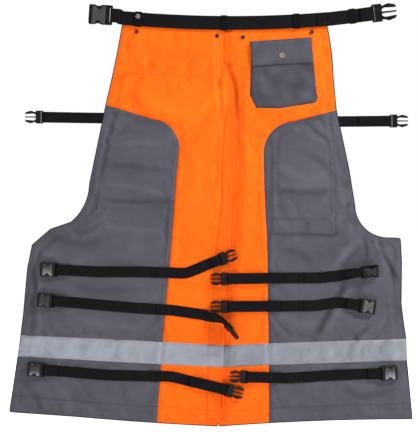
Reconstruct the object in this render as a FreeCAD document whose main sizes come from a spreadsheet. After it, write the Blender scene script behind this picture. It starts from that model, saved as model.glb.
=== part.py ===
"""Protective leg chaps for forestry work, laid out flat and seen from the front.

Units are millimetres.  +X points to the viewer's right, +Z points up to the waist
and +Y points away from the viewer.  "Left" and "right" are the viewer's.
The origin is under the middle of the garment: X and Y are centred, Z = 0 is the hem.
"Depth" is counted from the back of the lining towards the viewer.
"""
import FreeCAD
import Part
import math
import os
import Sketcher

doc = FreeCAD.newDocument("chaps")
Vector = FreeCAD.Vector

# ---------------------------------------------------------------- driving dimensions
SIZES = {
    "half_depth": 21.2,          # half of the whole garment's depth
    "lining_thick": 1.0,
    "pad_thick": 7.0,
    "shell_thick": 2.0,
    "binding_width": 4.0,
    "pad_margin": 24.0,          # padding stops this far inside the panel edge
    "pad_top": 815.0,
    "fold_height": 418.0,        # knee fold, above the hem
    "fold_gap": 1.0,
    "inner_gap": 2.0,            # between the two legs' inner edges
    "tape_thick": 0.6,
    "strip_thick": 2.0,
    "pouch_thick": 3.0,
    "flap_gap": 0.5,
    "flap_thick": 1.5,
    "snap_radius": 6.5,
    "snap_bore": 1.7,
    "snap_post": 1.6,
    "waist_web_width": 32.0,
    "waist_web_thick": 2.0,
    "waist_web_depth": 11.2,     # back of the waist webbing
    "loop_width": 15.0,
    "loop_thick": 1.2,
    "loop_gap": 0.2,
    "rivet_radius": 4.5,
    "rivet_high": 1.4,
    "calf_web_width": 25.0,
    "web_thick": 1.6,
    "bar_size": 2.4,             # square bar that a webbing loop goes round
    "bar_gap": 0.1,
    "calf_buckle_width": 33.0,
    "calf_buckle_thick": 9.0,
    "calf_buckle_depth": 15.2,   # middle of the calf buckles
    "thigh_buckle_depth": 5.5,
    "waist_buckle_width": 45.0,
    "waist_buckle_thick": 11.0,
    "latch_gap": 0.1,            # between a moving latch arm and its buckle
    "eyelet_radius": 5.5,
    "eyelet_hole": 2.6,
    "eyelet_high": 1.4,
    "eyelet_hole_deep": 1.6,
    "snap_base_radius": 5.0,
    "snap_base_high": 0.3,
    "snap_post_high": 1.4,
    "snap_socket": 3.2,          # radius of the hole that the snap needs in the flap
    "snap_cap_high": 1.4,
    "slot_clearance": 0.5,       # beside the webbing in a buckle's slot
    "slot_spare": 0.8,           # beyond the webbing's loop in a buckle's slot
    "socket_wall": 3.5,
    "twist_end": 16.0,           # straight end of a twisted strap, at its buckle
    "keeper_place": 326.0,
}
sheet = doc.addObject("Spreadsheet::Sheet", "sizes")
for row, (alias, number) in enumerate(SIZES.items(), start=1):
    sheet.set("A%d" % row, alias)
    sheet.set("B%d" % row, str(number))
    sheet.setAlias("B%d" % row, alias)
doc.recompute()


def size(alias):
    """Read one driving dimension back from the sheet."""
    return float(sheet.get(alias))


FOLD = size("fold_height")
WEB = size("web_thick")
BAR = size("bar_size")
BAR_GAP = size("bar_gap")
FAR = 2000.0                     # reaches past the garment in every direction


# ---------------------------------------------------------------- outlines and sketches
def curves(outline):
    """Closed outline to sketch curves; a point of four numbers is an arc via its first two."""
    shapes = []
    start = outline[-1][-2:]
    for point in outline:
        end = point[-2:]
        a = Vector(start[0], start[1], 0)
        b = Vector(end[0], end[1], 0)
        if len(point) == 4:
            shapes.append(Part.Arc(a, Vector(point[0], point[1], 0), b))
        else:
            shapes.append(Part.LineSegment(a, b))
        start = end
    return shapes


def inset(outline, amount):
    """Curves of an outline moved inwards by an amount."""
    wire = Part.Wire([shape.toShape() for shape in curves(outline)])
    shapes = []
    for edge in wire.makeOffset2D(-amount).Edges:
        first, last = edge.FirstParameter, edge.LastParameter
        if isinstance(edge.Curve, Part.Circle):
            shapes.append(Part.ArcOfCircle(edge.Curve, first, last))
        else:
            shapes.append(Part.LineSegment(edge.valueAt(first), edge.valueAt(last)))
    return shapes


def rectangle(x_low, z_low, x_high, z_high):
    return [(x_low, z_low), (x_high, z_low), (x_high, z_high), (x_low, z_high)]


def strip(path, width):
    """Outline of a band of one width that follows a path of points."""
    upper = []
    lower = []
    for index, (x, z) in enumerate(path):
        before = path[max(index - 1, 0)]
        after = path[min(index + 1, len(path) - 1)]
        heading = math.atan2(after[1] - before[1], after[0] - before[0])
        side_x = -math.sin(heading) * width / 2
        side_z = math.cos(heading) * width / 2
        upper.append((x + side_x, z + side_z))
        lower.append((x - side_x, z - side_z))
    return upper + lower[::-1]


def new_body(label):
    body = doc.addObject("PartDesign::Body", label)
    body.Label = label
    return body


def plane_of(body, role):
    return [feature for feature in body.Origin.OriginFeatures if feature.Role == role][0]


def add_sketch(body, shapes, depth="0", role="XZ_Plane"):
    """Sketch on one of the body's planes, moved along the plane's normal by a depth."""
    sketch = body.newObject("Sketcher::SketchObject", body.Label + "_outline")
    sketch.AttachmentSupport = [(plane_of(body, role), "")]
    sketch.MapMode = "FlatFace"
    sketch.addGeometry(shapes, False)
    sketch.setExpression("AttachmentOffset.Base.z", depth)
    return sketch


def add_pad(body, shapes, depth, length, middle=False, role="XZ_Plane"):
    """Pad from a depth towards the viewer, or to both sides of it."""
    sketch = add_sketch(body, shapes, depth, role)
    pad = body.newObject("PartDesign::Pad", body.Label + "_pad")
    pad.Profile = sketch
    pad.Midplane = middle
    pad.setExpression("Length", length)
    return pad


def add_pocket(body, shapes, depth="0", length=None, middle=True, role="XZ_Plane"):
    """Cut to both sides of a depth, right through unless a length is given."""
    sketch = add_sketch(body, shapes, depth, role)
    pocket = body.newObject("PartDesign::Pocket", body.Label + "_cut")
    pocket.Profile = sketch
    pocket.Midplane = middle
    if length is None:
        pocket.Type = 1
    else:
        pocket.setExpression("Length", length)
    return pocket


PARTS = {}


def keep(body, placement=None):
    """Shift a finished piece so that depth is centred on the origin, and list it."""
    move = FreeCAD.Placement(Vector(0, size("half_depth"), 0), FreeCAD.Rotation())
    body.Placement = move.multiply(placement or FreeCAD.Placement())
    PARTS[body.Label] = body
    return body


def group(label, bodies):
    """Several alike pieces under one name, each still its own solid."""
    for body in bodies:
        keep(body)
        del PARTS[body.Label]
    compound = doc.addObject("Part::Compound", label)
    compound.Label = label
    compound.Links = bodies
    PARTS[label] = compound
    return compound


# ---------------------------------------------------------------- leg panels
# Both outlines start after the corner that their last point ends on.
LEFT_LEG = [
    (-219, 858, -244, 745),
    (-282, 561),
    (-296, 508, -324, 474),
    (-371, 458),
    (-414, 421),
    (-425, 367),
    (-435, 257),
    (-447, 166),
    (-467, 33),
    (-310, 22),
    (-160, 10, 17, 0),
    (29, 150),
    (35, 330),
    (45, 425),
    (49, 540),
    (55, 625, 50, 730),
    (50, 790),
    (31, 837),
    (31, 929),
    (-88, 936, -205, 935),
]
GAP = size("inner_gap")
RIGHT_LEG = [
    (17 + GAP, 0),
    (142, 8, 467, 16),
    (454, 153),
    (452, 206),
    (446, 244),
    (441, 285),
    (442, 382),
    (439, 437),
    (412, 438),
    (360, 456, 334, 511),
    (320, 598),
    (291, 733),
    (284, 806),
    (278, 880, 269, 930),
    (150, 930, 31 + GAP, 929),
    (31 + GAP, 837),
    (50 + GAP, 790),
    (50 + GAP, 730),
    (55 + GAP, 625, 49 + GAP, 540),
    (45 + GAP, 425),
    (35 + GAP, 330),
    (29 + GAP, 150),
]

# The seam between the orange shell and the darker side panel, and the side panel's side.
LEFT_SEAM = [
    (-260, 749),
    (-135, 710),
    (-90, 688, -73, 646),
    (-79, 589),
    (-92, 418),
    (-103, 296),
    (-115, 145),
    (-127, -20),
]
RIGHT_SEAM = [
    (310, 737),
    (193, 705),
    (138, 678, 122, 632),
    (123, 560),
    (131, 392),
    (134, 126),
    (134, -20),
]


def side_zone(seam, sign):
    """Closed area outside the seam, where the darker side panel is."""
    return seam + [(sign * FAR, seam[-1][1]), (sign * FAR, seam[0][1])]


def shell_zone(seam, sign):
    """Closed area on the other side of the same seam, past all the panel's edges."""
    corners = [(-sign * FAR, seam[-1][1]), (-sign * FAR, FAR), (sign * FAR, FAR)]
    return seam + corners + [(sign * FAR, seam[0][1])]


def other_half(half):
    """The area that is cut away from an upper or a lower piece."""
    if half == "upper":
        return rectangle(-FAR, -FAR, FAR, FOLD)
    return rectangle(-FAR, FOLD - size("fold_gap"), FAR, FAR)


LEGS = {
    "left": (LEFT_LEG, LEFT_SEAM, -1),
    "right": (RIGHT_LEG, RIGHT_SEAM, 1),
}
SHELL_DEPTH = "sizes.lining_thick + sizes.pad_thick"
FRONT = "sizes.lining_thick + sizes.pad_thick + sizes.shell_thick"

for half in ("upper", "lower"):
    linings = []
    paddings = []
    bindings = []
    for leg, (outline, seam, sign) in LEGS.items():
        cloth = inset(outline, size("binding_width"))

        shell = new_body("%s_%s_shell" % (leg, half))
        add_pad(shell, cloth, SHELL_DEPTH, "sizes.shell_thick")
        add_pocket(shell, curves(side_zone(seam, sign)))
        add_pocket(shell, curves(other_half(half)))
        keep(shell)

        side = new_body("%s_%s_side_panel" % (leg, half))
        add_pad(side, cloth, SHELL_DEPTH, "sizes.shell_thick")
        add_pocket(side, curves(shell_zone(seam, sign)))
        add_pocket(side, curves(other_half(half)))
        keep(side)

        lining = new_body("%s_%s_lining" % (leg, half))
        add_pad(lining, cloth, "0", "sizes.lining_thick")
        add_pocket(lining, curves(other_half(half)))
        linings.append(lining)

        padding = new_body("%s_%s_padding" % (leg, half))
        filling = inset(outline, size("pad_margin"))
        add_pad(padding, filling, "sizes.lining_thick", "sizes.pad_thick")
        add_pocket(padding, curves(other_half(half)))
        if half == "upper":
            add_pocket(padding, curves(rectangle(-FAR, size("pad_top"), FAR, FAR)))
        paddings.append(padding)

        binding = new_body("%s_%s_binding" % (leg, half))
        add_pad(binding, curves(outline), "0", FRONT)
        add_pocket(binding, cloth)
        add_pocket(binding, curves(other_half(half)))
        bindings.append(binding)

    group("%s_linings" % half, linings)
    group("%s_padding" % half, paddings)
    group("%s_edge_binding" % half, bindings)

crotch = new_body("crotch_strip")
add_pad(crotch, curves(rectangle(31, 839, 51, 913)), FRONT, "sizes.strip_thick")
keep(crotch)

# Reflective tape across the front of both shins.
LEFT_TAPE = [(-443, 212), (-163, 199), (27, 188), (26, 138), (-163, 147), (-449, 163)]
RIGHT_TAPE = [(33, 188), (131, 193), (445, 203), (449, 153), (131, 143), (32, 138)]
tapes = []
for leg, outline in (("left", LEFT_TAPE), ("right", RIGHT_TAPE)):
    tape = new_body("%s_reflective_tape" % leg)
    add_pad(tape, curves(outline), FRONT, "sizes.tape_thick")
    tapes.append(tape)
group("reflective_tape", tapes)

# ---------------------------------------------------------------- pocket
FLAP_LEFT = (91, 883)
FLAP_RIGHT = (233, 893)
FLAP = [FLAP_LEFT, (94, 832), (234, 840), FLAP_RIGHT]
POUCH = [(93, 864), (90, 765), (105, 736), (157, 735), (236, 747), (245, 754, 244, 769), (234, 872)]
SNAP = (164, 857)


def circle(x, z, radius):
    return [Part.Circle(Vector(x, z, 0), Vector(0, 0, 1), radius)]


POUCH_FRONT = FRONT + " + sizes.pouch_thick"
FLAP_BACK = POUCH_FRONT + " + sizes.flap_gap"
FLAP_FRONT = FLAP_BACK + " + sizes.flap_thick"

pouch = new_body("pocket_pouch")
add_pad(pouch, curves(POUCH), FRONT, "sizes.pouch_thick")
keep(pouch)

stud = new_body("pocket_snap_stud")
add_pad(stud, circle(*SNAP, size("snap_base_radius")), POUCH_FRONT, "sizes.snap_base_high")
post_back = POUCH_FRONT + " + sizes.snap_base_high"
add_pad(stud, circle(*SNAP, size("snap_post")), post_back, "sizes.snap_post_high")
keep(stud)

flap = new_body("pocket_flap")
add_pad(flap, curves(FLAP), FLAP_BACK, "sizes.flap_thick")
add_pocket(flap, circle(*SNAP, size("snap_socket")))
keep(flap)

cap = new_body("pocket_snap_cap")
add_pad(cap, circle(*SNAP, size("snap_socket")), FLAP_BACK, "sizes.flap_thick")
add_pad(cap, circle(*SNAP, size("snap_radius")), FLAP_FRONT, "sizes.snap_cap_high")
add_pocket(cap, circle(*SNAP, size("snap_bore")), FLAP_BACK, "2 * sizes.snap_post_high")
keep(cap)

# ---------------------------------------------------------------- waist belt
BELT_LEFT = (-208, 944)
BELT_LOW = (30, 932)
BELT_RIGHT = (271, 941)
BELT_SAG = Part.Arc(*[Vector(x, z, 0) for x, z in (BELT_LEFT, BELT_LOW, BELT_RIGHT)])
BELT_CIRCLE = BELT_SAG.toShape().Curve


def belt_height(x):
    """Height of the sagging belt's middle line."""
    aside = x - BELT_CIRCLE.Center.x
    return BELT_CIRCLE.Center.y - math.sqrt(BELT_CIRCLE.Radius ** 2 - aside ** 2)


def belt_heading(x):
    """Slope of the belt's middle line in degrees."""
    return math.degrees(math.asin((x - BELT_CIRCLE.Center.x) / BELT_CIRCLE.Radius))


half_web = size("waist_web_width") / 2
band = [
    (BELT_LEFT[0], BELT_LEFT[1] - half_web),
    (BELT_LOW[0], BELT_LOW[1] - half_web, BELT_RIGHT[0], BELT_RIGHT[1] - half_web),
    (BELT_RIGHT[0], BELT_RIGHT[1] + half_web),
    (BELT_LOW[0], BELT_LOW[1] + half_web, BELT_LEFT[0], BELT_LEFT[1] + half_web),
]
belt = new_body("waist_belt")
add_pad(belt, curves(band), "sizes.waist_web_depth", "sizes.waist_web_thick")
keep(belt)


def webbing_loop(label, x, z, heading=0.0, back="sizes.waist_web_depth - sizes.loop_thick"):
    """Short tube of narrow webbing round the waist belt."""
    thick = size("loop_thick")
    gap = size("loop_gap")
    tall = size("waist_web_width") / 2 + gap + thick
    wide = size("loop_width") / 2
    body = new_body(label)
    length = "sizes.waist_web_thick + 2 * sizes.loop_thick + sizes.loop_gap"
    add_pad(body, curves(rectangle(-wide, -tall, wide, tall)), back, length)
    hole = rectangle(-2 * wide, -tall + thick, 2 * wide, tall - thick)
    hole_middle = back + " + sizes.loop_thick + (sizes.waist_web_thick + sizes.loop_gap) / 2"
    add_pocket(body, curves(hole), hole_middle, "sizes.waist_web_thick + sizes.loop_gap")
    turn = FreeCAD.Rotation(Vector(0, 1, 0), -heading)
    return body, FreeCAD.Placement(Vector(x, 0, z), turn)


LOOP_PLACES = (-168, 30, 197)
loops = []
places = []
for number, x in enumerate(LOOP_PLACES, start=1):
    body, placement = webbing_loop("belt_loop_%d" % number, x, belt_height(x), belt_heading(x))
    loops.append(body)
    places.append(placement)
group("belt_loops", loops)
for body, placement in zip(loops, places):
    body.Placement = body.Placement.multiply(placement)

EYELET = (LOOP_PLACES[0], 947)
eyelet = new_body("belt_eyelet")
LOOP_FRONT = "sizes.waist_web_depth + sizes.waist_web_thick + sizes.loop_gap + sizes.loop_thick"
add_pad(eyelet, circle(*EYELET, size("eyelet_radius")), LOOP_FRONT, "sizes.eyelet_high")
EYELET_FRONT = LOOP_FRONT + " + sizes.eyelet_high"
add_pocket(eyelet, circle(*EYELET, size("eyelet_hole")), EYELET_FRONT, "sizes.eyelet_hole_deep")
keep(eyelet)

RIVETS = [(-171, 912), (14, 902), (74, 899), (233, 911)]
rivets = []
for number, (x, z) in enumerate(RIVETS, start=1):
    rivet = new_body("waist_rivet_%d" % number)
    add_pad(rivet, circle(x, z, size("rivet_radius")), FRONT, "sizes.rivet_high")
    rivets.append(rivet)
group("waist_rivets", rivets)


# ---------------------------------------------------------------- straps
SEWN_LONG = 3                    # length of the block that holds a tail's end


def add_strap(body, path, width, tail, middle, web="sizes.web_thick"):
    """Webbing along a path that loops round the bar at the path's last point.

    The back layer runs the whole path.  The front layer is the doubled-back tail, and
    a short block at the tail's end is where it is sewn to the back layer.
    """
    thick = size(web.split(".")[1])
    reach = BAR / 2 + BAR_GAP
    end = path[-1]
    before = path[-2]
    length = math.hypot(end[0] - before[0], end[1] - before[1])
    along = ((end[0] - before[0]) / length, (end[1] - before[1]) / length)

    def ahead(distance):
        return (end[0] + along[0] * distance, end[1] + along[1] * distance)

    cap_start = ahead(reach)
    cap_end = ahead(reach + thick)
    spread = "(sizes.bar_size / 2 + sizes.bar_gap)"
    back = "%s - %s - %s" % (middle, spread, web)
    front = "%s + %s" % (middle, spread)
    add_pad(body, curves(strip(path[:-1] + [cap_end], width)), back, web)
    add_pad(body, curves(strip([cap_start, cap_end], width)), back, "2 * %s + 2 * %s" % (spread, web))
    add_pad(body, curves(strip([ahead(-tail), cap_end], width)), front, web)
    sewn = [ahead(-tail), ahead(-tail + SEWN_LONG)]
    add_pad(body, curves(strip(sewn, width)), back, "2 * %s + 2 * %s" % (spread, web))


def round_box(x_low, x_high, half, corner):
    """Outline of a box with rounded corners, centred on z = 0."""
    bite = corner * (1 - math.sqrt(0.5))
    return [
        (x_high - corner, -half),
        (x_high - bite, -half + bite, x_high, -half + corner),
        (x_high, half - corner),
        (x_high - bite, half - bite, x_high - corner, half),
        (x_low + corner, half),
        (x_low + bite, half - bite, x_low, half - corner),
        (x_low, -half + corner),
        (x_low + bite, -half + bite, x_low + corner, -half),
    ]


def cut_bar(body, web_width, thick, web):
    """Slot for a webbing loop, and the thin bar that the loop goes round."""
    room = web_width / 2 + size("slot_clearance")
    slot_end = BAR / 2 + 2 * BAR_GAP + size(web) + size("slot_spare")
    add_pocket(body, curves(rectangle(BAR / 2, -room, slot_end, room)))
    shelf = "(%s - sizes.bar_size) / 2" % thick
    for side in (1, -1):
        level = "%d * (sizes.bar_size / 2 + %s / 2)" % (side, shelf)
        add_pocket(body, curves(rectangle(-20, -room, BAR / 2, room)), level, shelf)


def female_buckle(label, kind, web):
    """Socket half of a side-release buckle; its mouth faces +X and its bar is at x = 0."""
    width = size(kind + "_buckle_width")
    thick = "sizes.%s_buckle_thick" % kind
    web_width = size(kind + "_web_width")
    length = width * 1.16
    body = new_body(label)
    add_pad(body, curves(round_box(-BAR, length, width / 2, 3)), "0", thick, True)
    cut_bar(body, web_width, thick, web)
    cavity = width / 2 - size("socket_wall")
    opening = "%s * 0.56" % thick
    add_pocket(body, curves(rectangle(length * 0.33, -cavity, length + 5, cavity)), "0", opening)
    window = rectangle(length * 0.42, -width, length * 0.74, width)
    add_pocket(body, curves(window), "0", opening)
    waist = width * 0.06
    for side in (1, -1):
        bite = [
            (length * 0.42, side * (width / 2 + 5)),
            (length * 0.42, side * width / 2),
            (length * 0.58, side * (width / 2 - waist), length * 0.74, side * width / 2),
            (length * 0.74, side * (width / 2 + 5)),
        ]
        add_pocket(body, curves(bite))
    return body


def latch_arm(width, length, side):
    """Outline of one springy side arm with its thumb pad."""
    return [
        (length * 0.30, side * width * 0.16),
        (length * 0.30, side * width * 0.36),
        (length * 0.52, side * width * 0.42),
        (length * 0.66, side * width * 0.48, length * 0.82, side * width * 0.42),
        (length * 0.97, side * width * 0.33, length, side * width * 0.22),
        (length * 0.82, side * width * 0.24),
        (length * 0.50, side * width * 0.27),
        (length * 0.36, side * width * 0.16),
    ]


def male_buckle(label, kind, web, arms=True):
    """Plug half of a side-release buckle; its prongs point to +X and its bar is at x = 0."""
    width = size(kind + "_buckle_width") * 0.9
    thick = "sizes.%s_buckle_thick" % kind
    length = size(kind + "_buckle_width") * 1.22
    body = new_body(label)
    add_pad(body, curves(round_box(-BAR, length * 0.38, width / 2, 2.5)), "0", thick, True)
    cut_bar(body, size(kind + "_web_width"), thick, web)
    prong = "%s * 0.5" % thick
    guide = [
        (length * 0.34, -width * 0.05),
        (length * 0.94, -width * 0.04),
        (length, 0, length * 0.94, width * 0.04),
        (length * 0.34, width * 0.05),
    ]
    add_pad(body, curves(guide), "0", prong, True)
    if arms:
        for side in (1, -1):
            add_pad(body, curves(latch_arm(width, length, side)), "0", prong, True)
    return body


def buckle_placement(x, z, heading, depth, roll=0.0):
    """Where a buckle's bar goes; roll turns it about its own length."""
    turn = FreeCAD.Rotation(Vector(0, 1, 0), -heading)
    twist = FreeCAD.Rotation(Vector(1, 0, 0), roll)
    return FreeCAD.Placement(Vector(x, -depth, z), turn.multiply(twist))


def heading_of(path):
    (x0, z0), (x1, z1) = path[-2:]
    return math.degrees(math.atan2(z1 - z0, x1 - x0))


# Waist ends: a short left end with the socket, a longer right end with the plug.
WAIST_MIDDLE = "(sizes.waist_web_depth + sizes.bar_size / 2 + sizes.bar_gap + sizes.waist_web_thick)"
WAIST_MIDDLE_DEPTH = size("waist_web_depth") + BAR / 2 + BAR_GAP + size("waist_web_thick")
LEFT_END = [(-212, 948), (-229, 949)]
RIGHT_END = [(274.5, 941), (373, 953)]

left_end = new_body("waist_belt_left_end")
add_strap(left_end, LEFT_END, size("waist_web_width"), 12, WAIST_MIDDLE, "sizes.waist_web_thick")
keep(left_end)
waist_female = female_buckle("waist_female_buckle", "waist", "waist_web_thick")
keep(waist_female, buckle_placement(*LEFT_END[-1], heading_of(LEFT_END), WAIST_MIDDLE_DEPTH))

right_end = new_body("waist_belt_right_end")
add_strap(right_end, RIGHT_END, size("waist_web_width"), 24, WAIST_MIDDLE, "sizes.waist_web_thick")
keep(right_end)
waist_male = male_buckle("waist_male_buckle", "waist", "waist_web_thick", arms=False)
waist_male_place = buckle_placement(*RIGHT_END[-1], heading_of(RIGHT_END), WAIST_MIDDLE_DEPTH)
waist_length = size("waist_buckle_width") * 1.22
waist_width = size("waist_buckle_width") * 0.9
for name, side in (("upper", 1), ("lower", -1)):
    arm = new_body("waist_latch_%s_arm" % name)
    outline = latch_arm(waist_width, waist_length, side)
    add_pad(arm, curves(outline), "0", "sizes.waist_buckle_thick * 0.5", True)
    keep(arm, waist_male_place)
    # Room in the plug's body for the root of the arm.
    near, far = sorted((side * waist_width * 0.13, side * waist_width * 0.52))
    relief = rectangle(waist_length * 0.26, near, waist_length * 0.38 + 5, far)
    room = "sizes.waist_buckle_thick * 0.5 + 2 * sizes.latch_gap"
    add_pocket(waist_male, curves(relief), "0", room)
keep(waist_male, waist_male_place)

keeper_x = size("keeper_place")
share = (keeper_x - RIGHT_END[0][0]) / (RIGHT_END[1][0] - RIGHT_END[0][0])
keeper_z = RIGHT_END[0][1] + share * (RIGHT_END[1][1] - RIGHT_END[0][1])
keeper, keeper_place = webbing_loop("belt_keeper", keeper_x, keeper_z, heading_of(RIGHT_END))
keep(keeper, keeper_place)

# Thigh straps: from the outer edge of each leg, with a plug at the end.
THIGH_STRAPS = {
    "left": ([(-258, 713), (-389, 715)], 66),
    "right": ([(304, 705), (415, 706)], 76),
}
THIGH_MIDDLE = "sizes.thigh_buckle_depth"
for leg, (path, tail) in THIGH_STRAPS.items():
    strap = new_body("%s_thigh_strap" % leg)
    add_strap(strap, path, size("calf_web_width"), tail, THIGH_MIDDLE)
    keep(strap)
    plug = male_buckle("%s_thigh_buckle" % leg, "calf", "web_thick")
    keep(plug, buckle_placement(*path[-1], heading_of(path), size("thigh_buckle_depth")))


def section(label, placement, width):
    """Cross-section of webbing: long side along the local Z axis, centred on its back layer."""
    sketch = doc.addObject("Sketcher::SketchObject", label)
    level = -(BAR / 2 + BAR_GAP + WEB / 2)
    sketch.addGeometry(curves(rectangle(-width / 2, -WEB / 2, width / 2, WEB / 2)), False)
    across = FreeCAD.Rotation(Vector(0, 0, 1), Vector(0, -1, 0), Vector(1, 0, 0), "XYZ")
    sketch.Placement = placement.multiply(FreeCAD.Placement(Vector(0, -level, 0), across))
    return sketch


def twisted_strap(label, path, width, bar, heading, depth, roll):
    """Webbing that lies flat along a path, then twists up to a buckle standing on its edge."""
    flat = new_body(label + "_flat")
    back = "%s - (sizes.bar_size / 2 + sizes.bar_gap) - sizes.web_thick" % CALF_MIDDLE
    add_pad(flat, curves(strip(path, width)), back, "sizes.web_thick")
    end = new_body(label + "_end")
    end_long = size("twist_end")
    add_strap(end, [(-end_long, 0), (0, 0)], width, end_long - 2, "0")
    end_place = buckle_placement(*bar, heading, depth, roll)
    end.Placement = end_place
    start_place = buckle_placement(*path[-1], heading_of(path), size("calf_buckle_depth"))
    start = section(label + "_start", start_place, width)
    half_place = buckle_placement(
        (path[-1][0] + bar[0] - end_long * math.cos(math.radians(heading))) / 2,
        (path[-1][1] + bar[1] - end_long * math.sin(math.radians(heading))) / 2,
        (heading_of(path) + heading) / 2,
        (size("calf_buckle_depth") + depth) / 2,
        roll / 2,
    )
    middle = section(label + "_middle", half_place, width)
    stop_place = end_place.multiply(FreeCAD.Placement(Vector(-end_long, 0, 0), FreeCAD.Rotation()))
    stop = section(label + "_stop", stop_place, width)
    twist = doc.addObject("Part::Loft", label + "_twist")
    twist.Sections = [start, middle, stop]
    twist.Solid = True
    twist.Ruled = False
    whole = doc.addObject("Part::MultiFuse", label)
    whole.Label = label
    whole.Shapes = [flat, twist, end]
    return whole


# Calf straps: sewn down in the middle, a socket at the outer end, a plug at the inner end.
CALF_STRAPS = [
    # name, sewn-down middle, outer path, inner path, tail
    ("left_top", [(-163, 358), (-96, 356)], [(-166, 358), (-355, 363)],
     [(-93, 356), (-58, 354), (2, 379), (21, 386)], 22),
    ("left_middle", [(-163, 274), (-96, 270)], [(-166, 274), (-362, 291)],
     [(-93, 270), (-16, 259)], 34),
    ("left_bottom", [(-163, 118), (-96, 117)], [(-166, 118), (-239, 120), (-384, 132)],
     [(-93, 117), (36, 86)], 90),
    ("right_top", [(178, 344), (245, 344)], [(248, 344), (295, 349)],
     [(175, 344), (39, 342)], 129),
    ("right_middle", [(178, 279), (245, 280)], [(248, 281), (292, 288), (341, 281)],
     [(175, 279), (39, 278)], 120),
    ("right_bottom", [(178, 113), (245, 117)], [(248, 118), (391, 124)],
     [(175, 113), (83, 116)], 76),
]
# Ends that have twisted up: bar position, heading, depth of the bar, roll.
TWISTED = {
    "left_middle_calf_inner_strap": ((37, 236), -52, 26.6, 75),
    "right_top_calf_outer_strap": ((347, 357), 6, 25.0, 45),
}
CALF_MIDDLE = "sizes.calf_buckle_depth"
calf_width = size("calf_web_width")
anchors = []
for name, middle, outer, inner, tail in CALF_STRAPS:
    anchor = new_body(name + "_calf_anchor")
    back = "%s - (sizes.bar_size / 2 + sizes.bar_gap)" % CALF_MIDDLE
    add_pad(anchor, curves(strip(middle, calf_width)), FRONT, "%s - (%s)" % (back, FRONT))
    anchors.append(anchor)
    for end, path, doubled in (("outer", outer, 34), ("inner", inner, tail)):
        label = "%s_calf_%s_strap" % (name, end)
        if label in TWISTED:
            bar, heading, depth, roll = TWISTED[label]
            strap = twisted_strap(label, path, calf_width, bar, heading, depth, roll)
            place = buckle_placement(*bar, heading, depth, roll)
        else:
            strap = new_body(label)
            add_strap(strap, path, calf_width, doubled, CALF_MIDDLE)
            place = buckle_placement(*path[-1], heading_of(path), size("calf_buckle_depth"))
        keep(strap)
        if end == "outer":
            keep(female_buckle(name + "_calf_socket", "calf", "web_thick"), place)
        else:
            keep(male_buckle(name + "_calf_plug", "calf", "web_thick"), place)
group("calf_strap_anchors", anchors)

# ---------------------------------------------------------------- check and export
doc.recompute()
for item in doc.Objects:
    if "Invalid" in item.State or "Error" in item.State:
        raise RuntimeError("feature failed: " + item.Label)
os.makedirs("parts", exist_ok=True)
for label, item in PARTS.items():
    shape = item.Shape
    if shape.isNull() or not shape.isValid():
        raise RuntimeError("bad shape: " + label)
    shape.exportStep("parts/%s.step" % label)
    print("%-34s solids %d  volume %9.0f" % (label, len(shape.Solids), shape.Volume))
print(len(PARTS), "nodes")
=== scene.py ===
"""Looks of the laid-out leg chaps: padded cloth legs, webbing, buckles, pocket and belt.

Lengths are in millimetres until a mesh is made.  X and Z are the garment's plane and
"height" is counted from the flat back of the lining towards the viewer (-Y).
"""
import bpy
import math
import numpy as np
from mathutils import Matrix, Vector, geometry, noise
from mathutils.bvhtree import BVHTree


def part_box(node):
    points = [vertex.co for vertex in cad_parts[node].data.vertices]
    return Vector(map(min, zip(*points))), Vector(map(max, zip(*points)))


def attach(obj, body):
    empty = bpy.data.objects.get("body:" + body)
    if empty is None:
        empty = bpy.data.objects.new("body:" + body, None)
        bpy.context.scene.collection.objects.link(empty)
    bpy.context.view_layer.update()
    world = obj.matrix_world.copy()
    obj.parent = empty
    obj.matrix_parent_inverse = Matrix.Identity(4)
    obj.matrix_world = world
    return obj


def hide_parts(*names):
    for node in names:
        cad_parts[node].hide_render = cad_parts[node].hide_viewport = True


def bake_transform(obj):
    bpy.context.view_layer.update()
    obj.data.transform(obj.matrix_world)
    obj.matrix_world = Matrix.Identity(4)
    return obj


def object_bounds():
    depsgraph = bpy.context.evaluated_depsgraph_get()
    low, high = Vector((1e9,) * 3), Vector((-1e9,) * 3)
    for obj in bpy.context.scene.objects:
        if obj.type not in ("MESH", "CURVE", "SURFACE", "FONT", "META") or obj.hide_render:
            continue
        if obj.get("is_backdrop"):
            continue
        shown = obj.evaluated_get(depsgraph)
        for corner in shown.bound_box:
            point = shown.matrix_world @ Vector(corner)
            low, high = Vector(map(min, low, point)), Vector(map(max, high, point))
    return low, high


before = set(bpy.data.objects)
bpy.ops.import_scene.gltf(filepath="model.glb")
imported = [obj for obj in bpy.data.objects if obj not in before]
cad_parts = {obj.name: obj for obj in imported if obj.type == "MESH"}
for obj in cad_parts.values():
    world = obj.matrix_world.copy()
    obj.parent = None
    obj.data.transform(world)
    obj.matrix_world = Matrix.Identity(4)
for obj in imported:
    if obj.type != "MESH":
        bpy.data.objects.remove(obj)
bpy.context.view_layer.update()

MM = 0.001
CLEAR = 200             # a depth outside the garment, where rays start
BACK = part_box("upper_linings")[1].y / MM
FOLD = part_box("upper_linings")[0].z / MM - 0.5
PAD_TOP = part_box("upper_padding")[1].z / MM


# ---------------------------------------------------------------- lines and loops
def lengths(vectors):
    return np.linalg.norm(vectors, axis=1)


def unit(vector):
    return vector / max(np.linalg.norm(vector), 1e-9)


def run_of(line):
    """Length along a line, at each of its points."""
    return np.concatenate([[0], np.cumsum(lengths(np.diff(line, axis=0)))])


def left_of(line):
    """Unit directions to the left of a flat line."""
    along = np.gradient(line, axis=0)
    along /= lengths(along)[:, None]
    return np.column_stack([-along[:, 1], along[:, 0]])


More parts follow.
